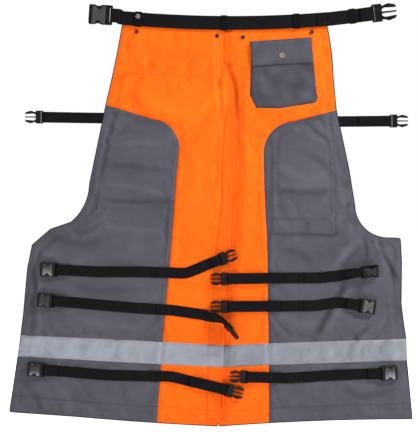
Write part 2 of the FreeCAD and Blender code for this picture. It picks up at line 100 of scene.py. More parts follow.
def open_edges(cells):
    """Next point of each edge that only one cell has."""
    edges = set()
    for cell in cells:
        for a, b in zip(cell, cell[1:] + cell[:1]):
            if (b, a) in edges:
                edges.remove((b, a))
            else:
                edges.add((a, b))
    return dict(edges)


def border_loop(faces):
    """Point numbers round the edge of a set of faces, in order."""
    follow = open_edges(faces)
    loop = [min(follow)]
    while follow[loop[-1]] != loop[0]:
        loop.append(follow[loop[-1]])
    return loop


def face_loops(node):
    """Boundary loops of a node's front face, as arrays of (x, z)."""
    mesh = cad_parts[node].data
    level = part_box(node)[0].y
    cells = []
    for polygon in mesh.polygons:
        corners = [mesh.vertices[i].co for i in polygon.vertices]
        if all(abs(corner.y - level) < 1e-5 for corner in corners):
            cells.append([(round(corner.x * 1e5), round(corner.z * 1e5)) for corner in corners])
    follow = open_edges(cells)
    loops = []
    while follow:
        start = min(follow)
        loop = [start]
        point = follow.pop(start)
        while point != start:
            loop.append(point)
            point = follow.pop(point)
        loops.append(np.array(loop) / 100.0)
    return loops


def stretch(loop, wanted):
    """The run of wanted points of a closed loop, with its neighbour at each end."""
    count = len(loop)
    first = next(i for i in range(count) if not wanted[i] and wanted[(i + 1) % count])
    points = [loop[first]]
    index = (first + 1) % count
    while wanted[index]:
        points.append(loop[index])
        index = (index + 1) % count
    return np.array(points + [loop[index]])


def pick(loops, leg):
    """The loop of one leg, out of a node that holds both."""
    ordered = sorted(loops, key=lambda loop: loop[:, 0].mean())
    return ordered[0] if leg == "left" else ordered[-1]


def whole_outline(nodes, leg):
    """One closed outline over the knee fold, from an upper and a lower node."""
    halves = []
    for half, level in (("upper", FOLD + 0.5), ("lower", FOLD - 0.5)):
        loop = pick(face_loops(nodes % half), leg)
        halves.append(stretch(loop, np.abs(loop[:, 1] - level) >= 0.3))
    return np.vstack(halves)


def resample(line, spacing, closed=False):
    """Points at most one spacing apart along a line, with its own corners kept."""
    line = np.asarray(line, float)
    ends = np.roll(line, -1, axis=0) if closed else line[1:]
    points = []
    for a, b in zip(line, ends):
        steps = max(1, int(math.ceil(np.linalg.norm(b - a) / spacing)))
        points += [a + (b - a) * step / steps for step in range(steps)]
    if not closed:
        points.append(line[-1])
    kept = [points[0]]
    for point in points[1:]:
        if np.linalg.norm(point - kept[-1]) > spacing * 0.3:
            kept.append(point)
    return np.array(kept)


def curve_through(points, spacing):
    """Smooth line through points (Catmull-Rom), evenly stepped."""
    points = np.asarray(points, float)
    padded = np.vstack([2 * points[0] - points[1], points, 2 * points[-1] - points[-2]])
    result = []
    for i in range(1, len(padded) - 2):
        a, b, c, d = padded[i - 1:i + 3]
        steps = max(2, int(np.linalg.norm(c - b) / spacing))
        for step in range(steps):
            t = step / steps
            result.append(0.5 * (2 * b + (c - a) * t + (2 * a - 5 * b + 4 * c - d) * t * t
                                 + (3 * b - a - 3 * c + d) * t ** 3))
    return np.array(result + [padded[-2]])


def softened(values, rounds):
    """Values evened out with their neighbours, the ends kept."""
    for _ in range(rounds):
        values[1:-1] = (values[:-2] + 2 * values[1:-1] + values[2:]) / 4
    return values


def distance_to(points, line, closed=False):
    """Distance of every point from a line of points."""
    starts = np.asarray(line, float)
    ends = np.roll(starts, -1, axis=0)
    if not closed:
        starts, ends = starts[:-1], ends[:-1]
    best = np.full(len(points), 1e9)
    for a, b in zip(starts, ends):
        along = b - a
        share = np.clip(((points - a) @ along) / max(along @ along, 1e-9), 0, 1)
        best = np.minimum(best, lengths(points - a - share[:, None] * along))
    return best


def inside(points, loop):
    """True for every point inside a closed loop."""
    result = np.zeros(len(points), bool)
    x, z = points[:, 0], points[:, 1]
    for (x0, z0), (x1, z1) in zip(loop, np.roll(loop, -1, axis=0)):
        if z0 != z1:
            result ^= ((z0 > z) != (z1 > z)) & (x < (x1 - x0) * (z - z0) / (z1 - z0) + x0)
    return result


def outward_of(loop):
    """Unit vectors pointing out of a closed loop."""
    along = np.roll(loop, -1, axis=0) - np.roll(loop, 1, axis=0)
    along /= np.maximum(lengths(along), 1e-9)[:, None]
    following = np.roll(loop, -1, axis=0)
    area = np.sum(loop[:, 0] * following[:, 1] - following[:, 0] * loop[:, 1])
    turn = 1 if area > 0 else -1
    return turn * np.column_stack([along[:, 1], -along[:, 0]])


def beside(line, offset):
    """A line running beside another at a fixed distance."""
    line = resample(line, 10)
    return line + left_of(line) * offset


def clipped(line, loop, margin=3.0):
    """The longest run of a line that lies inside a loop."""
    line = resample(line, 5)
    good = inside(line, loop) & (distance_to(line, loop, closed=True) > margin)
    runs = [[]]
    for point, keep in zip(line, good):
        if keep:
            runs[-1].append(point)
        elif runs[-1]:
            runs.append([])
    return np.array(max(runs, key=len))


def shrunk(loop, amount):
    """A loop moved inwards, without the points that end up too near the edge."""
    line = resample(loop, 4, closed=True)
    moved = line - outward_of(line) * amount
    moved = moved[distance_to(moved, loop, closed=True) > amount * 0.93]
    return np.vstack([moved, moved[:1]])


def smooth(value, low, high):
    share = np.clip((value - low) / (high - low), 0, 1)
    return share * share * (3 - 2 * share)


def bell(gap, width):
    """1 on a line, falling to 0 a few widths away."""
    return np.exp(-(gap / width) ** 2)


def near(points, zones, reach, fade):
    """0 far from every zone, 1 within reach of one."""
    share = np.zeros(len(points))
    for path in zones:
        share = np.maximum(share, 1 - smooth(distance_to(points, path), reach, reach + fade))
    return share


def cloth_noise(points, wavelength, seed):
    """Smooth noise between about -1 and 1."""
    shift = Vector((seed * 17.3, seed * 5.1, seed * 9.7))
    return np.array([noise.noise(Vector((x, 0, z)) / wavelength + shift) for x, z in points])


# ---------------------------------------------------------------- meshes
def mesh_object(name, points, faces, material, rest=None):
    """Object from millimetre points; rest gives each point's place on the flat cloth."""
    mesh = bpy.data.meshes.new(name)
    mesh.from_pydata([Vector(point) * MM for point in points], [], faces)
    mesh.validate()
    if rest is not None:
        layer = mesh.uv_layers.new(name="cloth")
        loops = np.zeros(len(mesh.loops), np.int32)
        mesh.loops.foreach_get("vertex_index", loops)
        values = np.asarray(rest, float)[loops] * MM
        layer.data.foreach_set("uv", values.astype(np.float32).ravel())
    mesh.polygons.foreach_set("use_smooth", [True] * len(mesh.polygons))
    mesh.materials.append(material)
    obj = bpy.data.objects.new(name, mesh)
    bpy.context.scene.collection.objects.link(obj)
    return obj


def painted_shading_attribute(obj, folds):
    """Record the light and shade painted into each point's colour, mostly how far the point is lifted by a fold."""
    layer = obj.data.attributes.new("fold", "FLOAT", "POINT")
    layer.data.foreach_set("value", np.asarray(folds, np.float32))


def settle(obj, slot, ride, *nodes):
    """Give a piece its body (or its way to ride) and hide the nodes that it stands for; slot is not used."""
    if callable(ride):
        ride(obj)
    elif ride:
        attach(obj, ride)
    if nodes:
        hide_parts(*nodes)


def triangulate(outline, lines, spacing):
    """Even triangles inside an outline, with edges along the given inner lines."""
    border = resample(outline, spacing, closed=True)
    points = [tuple(p) for p in border]
    edges = []
    fixed = []
    for line in lines:
        inner = resample(line, spacing)
        first = len(points)
        points += [tuple(p) for p in inner]
        edges += [(first + i, first + i + 1) for i in range(len(inner) - 1)]
        fixed.append(inner)
    low, high = border.min(0), border.max(0)
    grid = []
    for number, z in enumerate(np.arange(low[1] + spacing / 2, high[1], spacing * math.sqrt(0.75))):
        shift = spacing / 2 * (number % 2)
        grid += [(x, z) for x in np.arange(low[0] + shift, high[0], spacing)]
    grid = np.array(grid)
    grid = grid[inside(grid, border)]
    clear = distance_to(grid, border, closed=True) > spacing * 0.55
    for line in fixed:
        clear &= distance_to(grid, line) > spacing * 0.55
    points += [tuple(p) for p in grid[clear]]
    result = geometry.delaunay_2d_cdt(
        [Vector(p) for p in points], edges, [list(range(len(border)))], 1, 1e-3)
    return np.array([tuple(p) for p in result[0]]), [list(face) for face in result[2]]


def turned(flat, faces, front):
    """Faces wound so that they look to the front or to the back."""
    result = []
    for face in faces:
        a, b, c = (flat[i] for i in face[:3])
        area = (b[0] - a[0]) * (c[1] - a[1]) - (b[1] - a[1]) * (c[0] - a[0])
        result.append(face if (area > 0) == front else face[::-1])
    return result


def subset(faces, wanted):
    """The points that the wanted faces use, and these faces numbered anew."""
    kept = [face for face, keep in zip(faces, wanted) if keep]
    used = sorted(set(i for face in kept for i in face))
    number = {old: new for new, old in enumerate(used)}
    return used, [[number[i] for i in face] for face in kept]


def tube_faces(rings, count, wanted=None, closed=True):
    """Quads between rings of points that hold the same count of points."""
    faces = []
    for ring in range(rings - 1):
        for i in range(count if closed else count - 1):
            if wanted is None or wanted[i]:
                a, b = ring * count + i, ring * count + (i + 1) % count
                faces.append([a, b, b + count, a + count])
    return faces


def skirt_faces(edge, low):
    """Quads from an edge loop down to the points below it."""
    return [[edge[i], edge[i - 1], low[i - 1], low[i]] for i in list(range(1, len(edge))) + [0]]


def placed(flat, height):
    """(x, y, z) of cloth points at a height above the back."""
    return np.column_stack([flat[:, 0], BACK - height, flat[:, 1]])


# ---------------------------------------------------------------- materials
WAVE_PERIOD = 0.314     # metres between the bands of a wave texture of scale 1


class Shader:
    """Small helper that builds one node material."""

    def __init__(self, name):
        self.material = bpy.data.materials.new(name)
        self.material.use_nodes = True
        self.tree = self.material.node_tree
        self.surface = self.tree.nodes["Principled BSDF"]

    def node(self, kind, **values):
        node = self.tree.nodes.new(kind)
        for key, value in values.items():
            if key in node.inputs:
                node.inputs[key].default_value = value
            else:
                setattr(node, key, value)
        return node

    def link(self, source, node, socket):
        self.tree.links.new(source, node.inputs[socket])

    def cloth_place(self):
        return self.node("ShaderNodeUVMap", uv_map="cloth").outputs["UV"]

    def object_place(self):
        return self.node("ShaderNodeTexCoord").outputs["Object"]

    def noise(self, place, scale, detail=3.0):
        node = self.node("ShaderNodeTexNoise", Scale=scale, Detail=detail, Roughness=0.5)
        self.link(place, node, "Vector")
        return node.outputs["Fac"]

    def wave(self, place, spacing, direction, distort=0.0):
        """Bands with a spacing in millimetres."""
        node = self.node("ShaderNodeTexWave", Scale=WAVE_PERIOD / (spacing * MM), Distortion=distort)
        node.bands_direction = direction
        self.link(place, node, "Vector")
        return node.outputs["Fac"]

    def math(self, operation, a, b):
        node = self.node("ShaderNodeMath", operation=operation)
        for socket, value in enumerate((a, b)):
            if isinstance(value, (int, float)):
                node.inputs[socket].default_value = value
            else:
                self.tree.links.new(value, node.inputs[socket])
        return node.outputs[0]

    def mix(self, a, share_a, b, share_b):
        """Weighted sum; a whole share needs no node of its own."""
        parts = [part if share == 1 else self.math("MULTIPLY", part, share)
                 for part, share in ((a, share_a), (b, share_b))]
        return self.math("ADD", *parts)

    def colour(self, factor, stops, fold=0.0):
        """Base colour from a ramp.

        Shade is painted into the colour: cloth is darker in its creases and paler on its ridges, by fold per
        millimetre.
        """
        node = self.node("ShaderNodeValToRGB")
        elements = node.color_ramp.elements
        while len(elements) < len(stops):
            elements.new(0.5)
        for element, (position, colour) in zip(elements, stops):
            element.position = position
            element.color = (*colour, 1)
        self.link(factor, node, "Fac")
        source = node.outputs["Color"]
        if fold:
            lift = self.node("ShaderNodeAttribute", attribute_name="fold").outputs["Fac"]
            change = self.math("ADD", self.math("MULTIPLY", lift, fold), 1.0)
            scaled = self.node("ShaderNodeVectorMath", operation="SCALE")
            self.tree.links.new(source, scaled.inputs[0])
            self.link(self.math("MAXIMUM", change, 0.3), scaled, "Scale")
            source = scaled.outputs[0]
        self.link(source, self.surface, "Base Color")

    def bump(self, height, strength, distance, below=None):
        """Relief with a depth in millimetres, over the relief below it."""
        node = self.node("ShaderNodeBump", Strength=strength, Distance=distance * MM)
        self.link(height, node, "Height")
        if below is not None:
            self.link(below, node, "Normal")
        self.link(node.outputs["Normal"], self.surface, "Normal")
        return node.outputs["Normal"]

    def rough(self, wear, share, base):
        self.link(self.mix(wear, share, base - 0.1, 1), self.surface, "Roughness")

    def set(self, **values):
        for key, value in values.items():
            self.surface.inputs[key.replace("_", " ")].default_value = value
        return self.material


def shade(colour, factor):
    return tuple(min(1.0, part * factor) for part in colour)


def woven_cloth(name, colour, thread=0.9, crumple=0.5, change=0.12, fold=0.0):
    """Coated woven cloth: two crossing threads, soft crumples, slight colour change and, with fold, painted shade
    in its creases.
    """
    shader = Shader(name)
    place = shader.cloth_place()
    weave = shader.math("MULTIPLY", shader.wave(place, thread, "X"), shader.wave(place, thread, "Y"))
    mixed = shader.mix(shader.noise(place, 9, 2.0), 0.7, shader.noise(place, 900, 2.0), 0.3)
    stops = [(0.30, shade(colour, 1 - change)), (0.50, colour), (0.72, shade(colour, 1 + change))]
    shader.colour(mixed, stops, fold)
    under = shader.bump(shader.noise(place, 30), crumple, 4.5)
    shader.bump(weave, 0.35, 0.12, under)
    return shader.set(Roughness=0.78, Sheen_Weight=0.05, Sheen_Roughness=0.5, Specular_IOR_Level=0.14)


def ribbed_webbing(name, colour):
    """Woven nylon tape: fine ribs across it and a few along it."""
    shader = Shader(name)
    place = shader.cloth_place()
    ribs = shader.mix(shader.wave(place, 1.3, "X", 0.4), 1, shader.wave(place, 2.6, "Y"), 0.8)
    mixed = shader.mix(ribs, 0.3, shader.noise(place, 1200), 0.5)
    shader.colour(mixed, [(0.2, shade(colour, 0.6)), (0.55, colour), (0.9, shade(colour, 1.6))])
    shader.bump(ribs, 0.6, 0.25)
    return shader.set(Roughness=0.7, Sheen_Weight=0.005, Specular_IOR_Level=0.06)


def moulded_plastic(name, colour, rough, gloss=0.32, fold=0.0):
    """Glossy moulded plastic with faint grain and scuffs, and, with fold, a painted glint from the fold attribute.
    """
    shader = Shader(name)
    place = shader.object_place()
    scuff = shader.noise(place, 70, 4.0)
    shader.colour(scuff, [(0.3, shade(colour, 0.7)), (0.7, shade(colour, 1.5))], fold)
    shader.bump(shader.noise(place, 2200, 2.0), 0.12, 0.05)
    shader.rough(scuff, 0.22, rough)
    return shader.set(Specular_IOR_Level=gloss, Coat_Weight=gloss / 8, Coat_Roughness=0.2)


def metal(name, colour, rough=0.25):
    shader = Shader(name)
    wear = shader.noise(shader.object_place(), 500)
    shader.colour(wear, [(0.3, shade(colour, 0.75)), (0.7, colour)])
    shader.rough(wear, 0.25, rough)
    return shader.set(Metallic=1.0)


def reflective(name, colour):
    """Glass-bead reflective tape: fine sparkle, satin gloss and faint creases, with painted shade in the creases.
    """
    shader = Shader(name)
    place = shader.cloth_place()
    beads = shader.noise(place, 2600, 1.0)
    mixed = shader.mix(beads, 0.35, shader.noise(place, 26), 0.65)
    shader.colour(mixed, [(0.32, shade(colour, 0.85)), (0.66, shade(colour, 1.12))], 0.10)
    under = shader.bump(shader.noise(place, 60, 2.0), 0.35, 1.2)
    shader.bump(beads, 0.15, 0.05, under)
    return shader.set(Roughness=0.5, Metallic=0.15, Sheen_Weight=0.1)


ORANGE_COLOUR = (0.90, 0.113, 0.0004)
GREY_COLOUR = (0.067, 0.066, 0.083)
LINING_COLOUR = (0.062, 0.062, 0.070)
BINDING_COLOUR = (0.022, 0.02, 0.022)
WEBBING_COLOUR = (0.0046, 0.0045, 0.0056)
TAPE_COLOUR = (0.216, 0.232, 0.272)
PLASTIC_COLOUR = (0.0045, 0.0045, 0.005)
# Socket faces are painted paler than the black plastic: a painted reflection of the room on their gloss.
FACE_REFLECTION_COLOUR = (0.020, 0.020, 0.022)
WAIST_FACE_REFLECTION_COLOUR = (0.034, 0.034, 0.037)
# Painted crease shade: how much darker the orange cloth is painted per millimetre of fold; the grey, lining and
# facing cloth get their own amounts below.
ORANGE_CREASE_SHADE = 0.085
orange = woven_cloth("orange_cloth", ORANGE_COLOUR, crumple=0.6, change=0.08, fold=ORANGE_CREASE_SHADE)
grey = woven_cloth("grey_cloth", GREY_COLOUR, crumple=0.8, change=0.15, fold=0.15)
lining_cloth = woven_cloth("lining_cloth", LINING_COLOUR, thread=1.4, crumple=1.2,
                           change=0.18, fold=0.12)
orange_facing = woven_cloth("orange_facing", shade(ORANGE_COLOUR, 0.88), change=0.05, fold=ORANGE_CREASE_SHADE)
orange_thread, grey_thread, light_thread, black_thread = [
    woven_cloth(name, colour, thread=0.4) for name, colour in (
        ("orange_thread", (0.60, 0.075, 0.004)), ("grey_thread", (0.05, 0.05, 0.06)),
        ("light_thread", (0.30, 0.30, 0.32)), ("black_thread", (0.014, 0.014, 0.016)))]
binding_tape = ribbed_webbing("binding_tape", BINDING_COLOUR)
webbing = ribbed_webbing("black_webbing", WEBBING_COLOUR)
tape_cloth = reflective("reflective_tape", TAPE_COLOUR)
plastic = moulded_plastic("black_plastic", PLASTIC_COLOUR, 0.36, 0.15)
# Painted reflection on the socket faces, and painted glints on the calf sockets' faces.
face_plastic = moulded_plastic("socket_face_plastic", FACE_REFLECTION_COLOUR, 0.38, 0.2, 1.0)
waist_face_plastic = moulded_plastic("waist_face_plastic", WAIST_FACE_REFLECTION_COLOUR, 0.36)
rivet_paint = moulded_plastic("rivet_black", (0.008, 0.008, 0.009), 0.45)
nickel = metal("nickel", (0.66, 0.65, 0.62))
brass = metal("snap_metal", (0.62, 0.52, 0.38), 0.35)


# ---------------------------------------------------------------- numbers of the legs
EDGE_FRONT = 6.4        # front of the thin edge
EDGE_BACK = 3.6         # back of the thin edge
FULL_FRONT = 9.6        # front over the padding
FULL_BACK = 0.4
CELL = 5.5              # size of the cloth's triangles
EDGE_OUT = 2.4          # how far the cloth reaches past the frame's lining
UNDERLAP = 10.0         # how far the right leg's edge slips under the left leg's
OVERLAP = 3.4

# Stitched lines, each a path of (x, z).
HEM = {
    "left": [(-452, 72), (-310, 60), (-160, 49), (8, 38)],
    "right": [(28, 37), (142, 44), (300, 50), (448, 55)],
}
LEFT_FACING = [(38, 745), (29, 691), (24, 615), (23, 521), (13, 431), (4, 314), (-5, 220), (-8, 139),
               (-11, 63), (-12, -30)]
THIGH_PATCH = [
    [(141, 655), (141, 456), (148, 445), (288, 444)],
    [(136, 655), (136, 440), (134, 428)],
    [(273, 726), (282, 657), (287, 576), (288, 444)],
    [(141, 480), (288, 479)],
]
PATCH_FOOT = np.array([(150, 444.5), (288, 444)])
PAD_LINES = {
    "left": [[(-213, 745), (-214, 812), (-150, 817), (-85, 811), (8, 804)]],
    "right": [[(68, 803), (86, 803)], [(266, 730), (266, 802)]],
}
# Soft folds, a row each: width, lift (a valley if negative) and the path's x,z places.
FOLDS = {"left": """
8 0.9 -238,650 -175,655 -112,652
9 -1.2 -239,606 -175,600 -106,588
7 1.0 -247,562 -175,552 -106,535
5 -1.0 -150,508 -120,507 -93,504
10 0.9 -255,470 -200,455 -120,452
13 -1.4 -380,440 -300,420 -240,430
12 1.3 -400,410 -330,380 -280,385
7 -1.6 -411,375 -404,330 -409,270
7 1.2 -395,365 -392,300 -396,200
13 -1.2 -330,330 -260,315 -180,320
12 1.2 -300,250 -240,240 -170,232
9 -1.4 -430,110 -400,60 -390,30
9 1.1 -350,95 -330,70 -320,40
18 1.6 -180,790 -120,740 -60,720
20 -1.0 -160,870 -60,850 10,855
14 1.2 -60,660 -30,600 -40,520
12 -1.2 -70,450 -40,420 10,410
12 1.2 10,765 -40,715 -110,655
11 -1.2 5,730 -32,680 -75,605
13 -0.9 -190,760 -130,700 -60,690
7 -1.6 -250,524 -170,520 -92,521
6 -1.4 -250,478 -275,455 -310,445
6 1.2 -240,500 -252,478 -280,458
11 -1.0 -160,365 -200,375 -250,372
""", "right": """
9 -2.6 310,336 295,303 271,265 251,229 239,208
9 1.6 322,330 308,298 285,258 266,226
6 -2.2 353,443 357,410 357,381
6 -1.8 366,438 378,412 386,385
6 -2.0 386,436 391,422 394,405
8 -1.8 410,392 420,342 438,264
6 -1.4 396,282 407,281 418,282
6 1.4 424,330 430,300 440,262
8 1.4 372,435 384,400 404,360
14 1.4 330,420 300,380 280,330
7 -1.4 345,330 340,315 338,300
16 1.2 160,600 220,570 270,585
12 -1.3 160,410 210,395 240,370
12 1.2 170,250 220,240 250,250
14 1.2 60,700 90,620 100,540
11 -1.3 300,95 350,70 430,90
12 -1.0 180,700 240,715 270,700
9 -1.3 150,547 215,540 280,545
9 0.9 150,560 215,555 280,560
8 -1.2 219,632 255,606 284,577
6 -1.5 306,555 322,565 330,560
6 -1.5 306,505 325,517 340,512
6 1.2 308,530 328,540 336,536
7 -1.2 300,470 320,480 345,470
4 -1.1 160,441 215,440 285,440
8 -1.5 368,240 330,196 312,150
8 1.0 366,222 342,192 335,158
9 -1.4 342,415 318,388 293,355
9 1.1 330,425 306,398 280,365
6 -2.0 391,402 408,375 436,334
5 -1.2 330,215 337,200 345,190
"""}
# Gathers where the two legs are joined at the crotch, in the same form.
GATHERS = {"left": """
5 -1.8 30,836 20,800 14,775
5 1.8 33,830 30,785 28,747
5 1.4 10,812 6,780 14,740
5 -1.2 24,770 24,730 28,700
""", "right": """
5 -1.6 36,836 52,800 54,770
5 1.5 40,835 62,790 64,735
5 -1.5 58,780 60,740 60,719
"""}
FOLD_STRENGTH = 1.35
FOLD_WIDTH = 0.8
GATHER_STRENGTH = 1.5
WRINKLE = 0.75
# Highest front allowed below straps, buckles, the pouch and nothing, and how softly it gives way.
UNDER_STRAP = 11.2
UNDER_BUCKLE = 10.1
UNDER_POUCH = 11.4
UNDER_NOTHING = 13.8
PRESS = 1.3
# Painted light and shade on the reflective band of each leg, so that it looks as bright on the lamp's side as on
# the other.
BAND_PAINTED_SHADING = {"left": 0.5, "right": -1.6}

# Each calf strap: sewn-down middle, outer path, inner path, inner tail.
# A path ends at its buckle's bar.
CALF = {
    "left_top": ([(-163, 358), (-96, 356)], [(-166, 358), (-260, 358), (-355, 363)],
                 [(-93, 356), (-58, 354), (2, 379), (21, 386)], 22),
    "left_middle": ([(-163, 274), (-96, 270)], [(-166, 274), (-362, 291)], [(-93, 270), (-16, 259)], 34),
    "left_bottom": ([(-163, 118), (-96, 117)], [(-166, 118), (-239, 120), (-384, 132)], [(-93, 117), (36, 86)], 90),
    "right_top": ([(178, 344), (245, 344)], [(248, 344), (295, 349)], [(175, 344), (39, 342)], 129),
    "right_middle": ([(178, 279), (245, 280)], [(248, 281), (292, 288), (341, 281)], [(175, 279), (39, 278)], 120),
    "right_bottom": ([(178, 113), (245, 117)], [(248, 118), (391, 124)], [(175, 113), (83, 116)], 76),
}
STRAP_ZONES = []
BUCKLE_ZONES = []
for middle, outer, inner, tail in CALF.values():
    whole = outer[::-1] + middle + inner if middle[0][0] < 0 else inner[::-1] + middle + outer
    STRAP_ZONES.append(np.array(whole, float))
    for path in (outer, inner):
        ahead = unit(np.subtract(path[-1], path[-2])) * 42
        BUCKLE_ZONES.append(np.array([path[-1], np.add(path[-1], ahead)], float))
BUCKLE_ZONES += [np.array(path, float) for path in ([(25, 250), (66, 198)], [(340, 355), (390, 360)])]
POUCH = face_loops("pocket_pouch")[0]


# ---------------------------------------------------------------- legs
def fold_lines(points, rows, widen, strengthen):
    """Soft ridges and valleys along the paths of a table, fading at their ends."""
    lifts = np.zeros(len(points))
    for row in rows.split("\n")[1:-1]:
        width, lift, *path = row.split()
        width = float(width) * widen
        path = curve_through([[float(part) for part in place.split(",")] for place in path], 8)
        ends = np.minimum(lengths(points - path[0]), lengths(points - path[-1]))
        lifts += (float(lift) * strengthen * bell(distance_to(points, path), width)
                  * (0.35 + 0.65 * smooth(ends, 0, width * 3)))
    return lifts


def is_inner(points):
    """True along the edges where the two legs meet."""
    return (np.abs(points[:, 0] - 32) < 42) & (points[:, 1] > 6) & (points[:, 1] < 924)


def bend_at_knee(obj):
    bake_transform(obj)


def drawn_out(line, reach):
    """A line made longer at both ends."""
    return np.vstack([line[0] + unit(line[0] - line[1]) * reach, line,
                      line[-1] + unit(line[-1] - line[-2]) * reach])


class Leg:
    """One padded leg: its flat pattern, its front and back heights and its pieces."""

    def __init__(self, leg):
        self.leg = leg
        pattern = whole_outline("%s_linings", leg)
        side = whole_outline(leg + "_%s_side_panel", leg)
        seam = stretch(side, distance_to(side, pattern, closed=True) > 1.0)
        if seam[0][1] < seam[-1][1]:
            seam = seam[::-1]
        self.seam = drawn_out(seam, 30)
        far = -700 if leg == "left" else 700
        self.side = np.vstack([self.seam, [(far, self.seam[-1][1]), (far, self.seam[0][1])]])
        border = resample(pattern, CELL, closed=True)
        inner_reach = OVERLAP if leg == "left" else UNDERLAP
        sideways = smooth(np.abs(outward_of(border)[:, 0]), 0.2, 0.5)
        reach = EDGE_OUT + (inner_reach - EDGE_OUT) * is_inner(border) * sideways
        for _ in range(3):
            reach = (np.roll(reach, 1) + reach + np.roll(reach, -1)) / 3
        above_hem = smooth(border[:, 1], 0, 7)
        reach = reach * above_hem + EDGE_OUT * (1 - above_hem)
        self.outline = border + outward_of(border) * reach[:, None]
        self.outline[:, 1] = np.maximum(self.outline[:, 1], 1.6)
        inner = self.outline[is_inner(self.outline)]
        self.inner_edge = inner[np.argsort(inner[:, 1])]

    def edge_gap(self, points):
        return distance_to(points, self.outline, closed=True)

    def back_height(self, points):
        pad = 1 - smooth(points[:, 1], PAD_TOP - 10, PAD_TOP + 14)
        full = smooth(self.edge_gap(points), 8, 32) * (0.35 + 0.65 * pad)
        height = EDGE_BACK + (FULL_BACK - EDGE_BACK) * full
        step = 3.0 if self.leg == "left" else -2.8
        height += step * (1 - smooth(distance_to(points, self.inner_edge), 4, 30))
        return np.maximum(height, 0.25)

    def front_height(self, points):
        gap = self.edge_gap(points)
        pad = 1 - smooth(points[:, 1], PAD_TOP - 8, PAD_TOP + 10)
        inner = distance_to(points, self.inner_edge)
        rise = 0.30 * smooth(gap, 0, 12) + 0.70 * smooth(gap, 18, 34) * pad
        rise += 0.25 * (1 - pad) * smooth(gap, 10, 40)
        height = EDGE_FRONT + (FULL_FRONT - EDGE_FRONT) * rise
        if self.leg == "left":
            strip, level = 1 - smooth(inner, 26, 36), FULL_FRONT - 0.6
        else:
            strip, level = 1 - smooth(inner, 12, 30), 4.4 + 4.4 * smooth(inner, 9, 26)
        height = height * (1 - strip) + strip * level
        seam = distance_to(points, self.seam)
        return height - 1.0 * bell(seam, 3.5) + 0.6 * bell(seam - 11, 7.0)

    def tape_edges(self):
        """Upper and lower edge of the reflective band, drawn out past both sides of the leg."""
        loop = pick(face_loops("reflective_tape"), self.leg)
        level = loop[:, 1].mean()
        edges = []
        for wanted in (loop[:, 1] > level, loop[:, 1] < level):
            line = loop[wanted]
            edges.append(drawn_out(line[np.argsort(line[:, 0])], 22))
        return edges

    def stitched(self):
        """Lines sewn through this leg's layers."""
        lines = [HEM[self.leg]] + PAD_LINES[self.leg]
        lines += [LEFT_FACING] if self.leg == "left" else THIGH_PATCH
        return [np.asarray(line, float) for line in lines]

    def relax(self, flat, height, faces, held):
        """Cloth simulation of the front: the sewn lines hold it and the padding pushes it out."""
        points = placed(flat, height)
        obj = mesh_object("sheet", points, faces, orange)
        group = obj.vertex_groups.new(name="sewn")
        for index in np.flatnonzero(held):
            group.add([int(index)], float(held[index]), "REPLACE")
        cloth = obj.modifiers.new("cloth", "CLOTH")
        for key, value in dict(
                quality=5, mass=0.12, tension_stiffness=12, compression_stiffness=12, shear_stiffness=4,
                bending_stiffness=0.6, air_damping=6, use_pressure=True, uniform_pressure_force=6,
                shrink_min=-0.035, shrink_max=-0.035, vertex_group_mass="sewn", pin_stiffness=1).items():
            setattr(cloth.settings, key, value)
        cloth.settings.effector_weights.gravity = 0
        cloth.collision_settings.use_collision = False
        cloth.collision_settings.use_self_collision = False
        scene = bpy.context.scene
        for number in range(1, 21):
            scene.frame_set(number)
        moved = obj.evaluated_get(bpy.context.evaluated_depsgraph_get()).to_mesh()
        result = np.zeros(len(moved.vertices) * 3)
        moved.vertices.foreach_get("co", result)
        scene.frame_set(1)
        bpy.data.objects.remove(obj)
        shift = result.reshape(-1, 3) / MM - points
        # The sheet stays over its own padding and under the webbing.
        sideways = np.clip(shift[:, [0, 2]], -3, 3)
        return flat + sideways * 0.8, height + np.clip(-shift[:, 1], -1.6, 2.2)

    def laid(self, flat, lines):
        """Heights of the front before the simulation, and how firmly each point is held in it."""
        height = self.front_height(flat)
        calm = height.copy()
        height += 0.8 * cloth_noise(flat, 80, 3) + 0.45 * cloth_noise(flat, 34, 5)
        slant = flat @ np.array([[0.82, -0.57], [0.57, 0.82]]) * [1.0, 0.42]
        height += 0.75 * cloth_noise(slant, 22, 21)
        edge = self.edge_gap(flat)
        near_edge = 1 - smooth(edge, 0, 16)
        height = np.where(near_edge > 0, calm * near_edge + height * (1 - near_edge), height)
        inner_hold = 14 if self.leg == "left" else 24
        held = (edge < 7) | (distance_to(flat, self.inner_edge) < inner_hold) | (flat[:, 1] > 905)
        for line in lines:
            gap = distance_to(flat, line)
            height -= 0.9 * bell(gap, 2.5)
            held |= gap < 0.6
        return height, held

    def ceiling(self, flat):
        """Highest front that leaves room for what lies on the cloth."""
        calm = near(flat, STRAP_ZONES, 17, 13)
        limit = UNDER_STRAP * calm + UNDER_NOTHING * (1 - calm)
        calm = near(flat, BUCKLE_ZONES, 23, 12)
        limit = UNDER_BUCKLE * calm + limit * (1 - calm)
        calm = np.maximum(inside(flat, POUCH), 1 - smooth(distance_to(flat, POUCH, closed=True), 4, 14))
        return np.minimum(limit, UNDER_POUCH * calm + UNDER_NOTHING * (1 - calm))

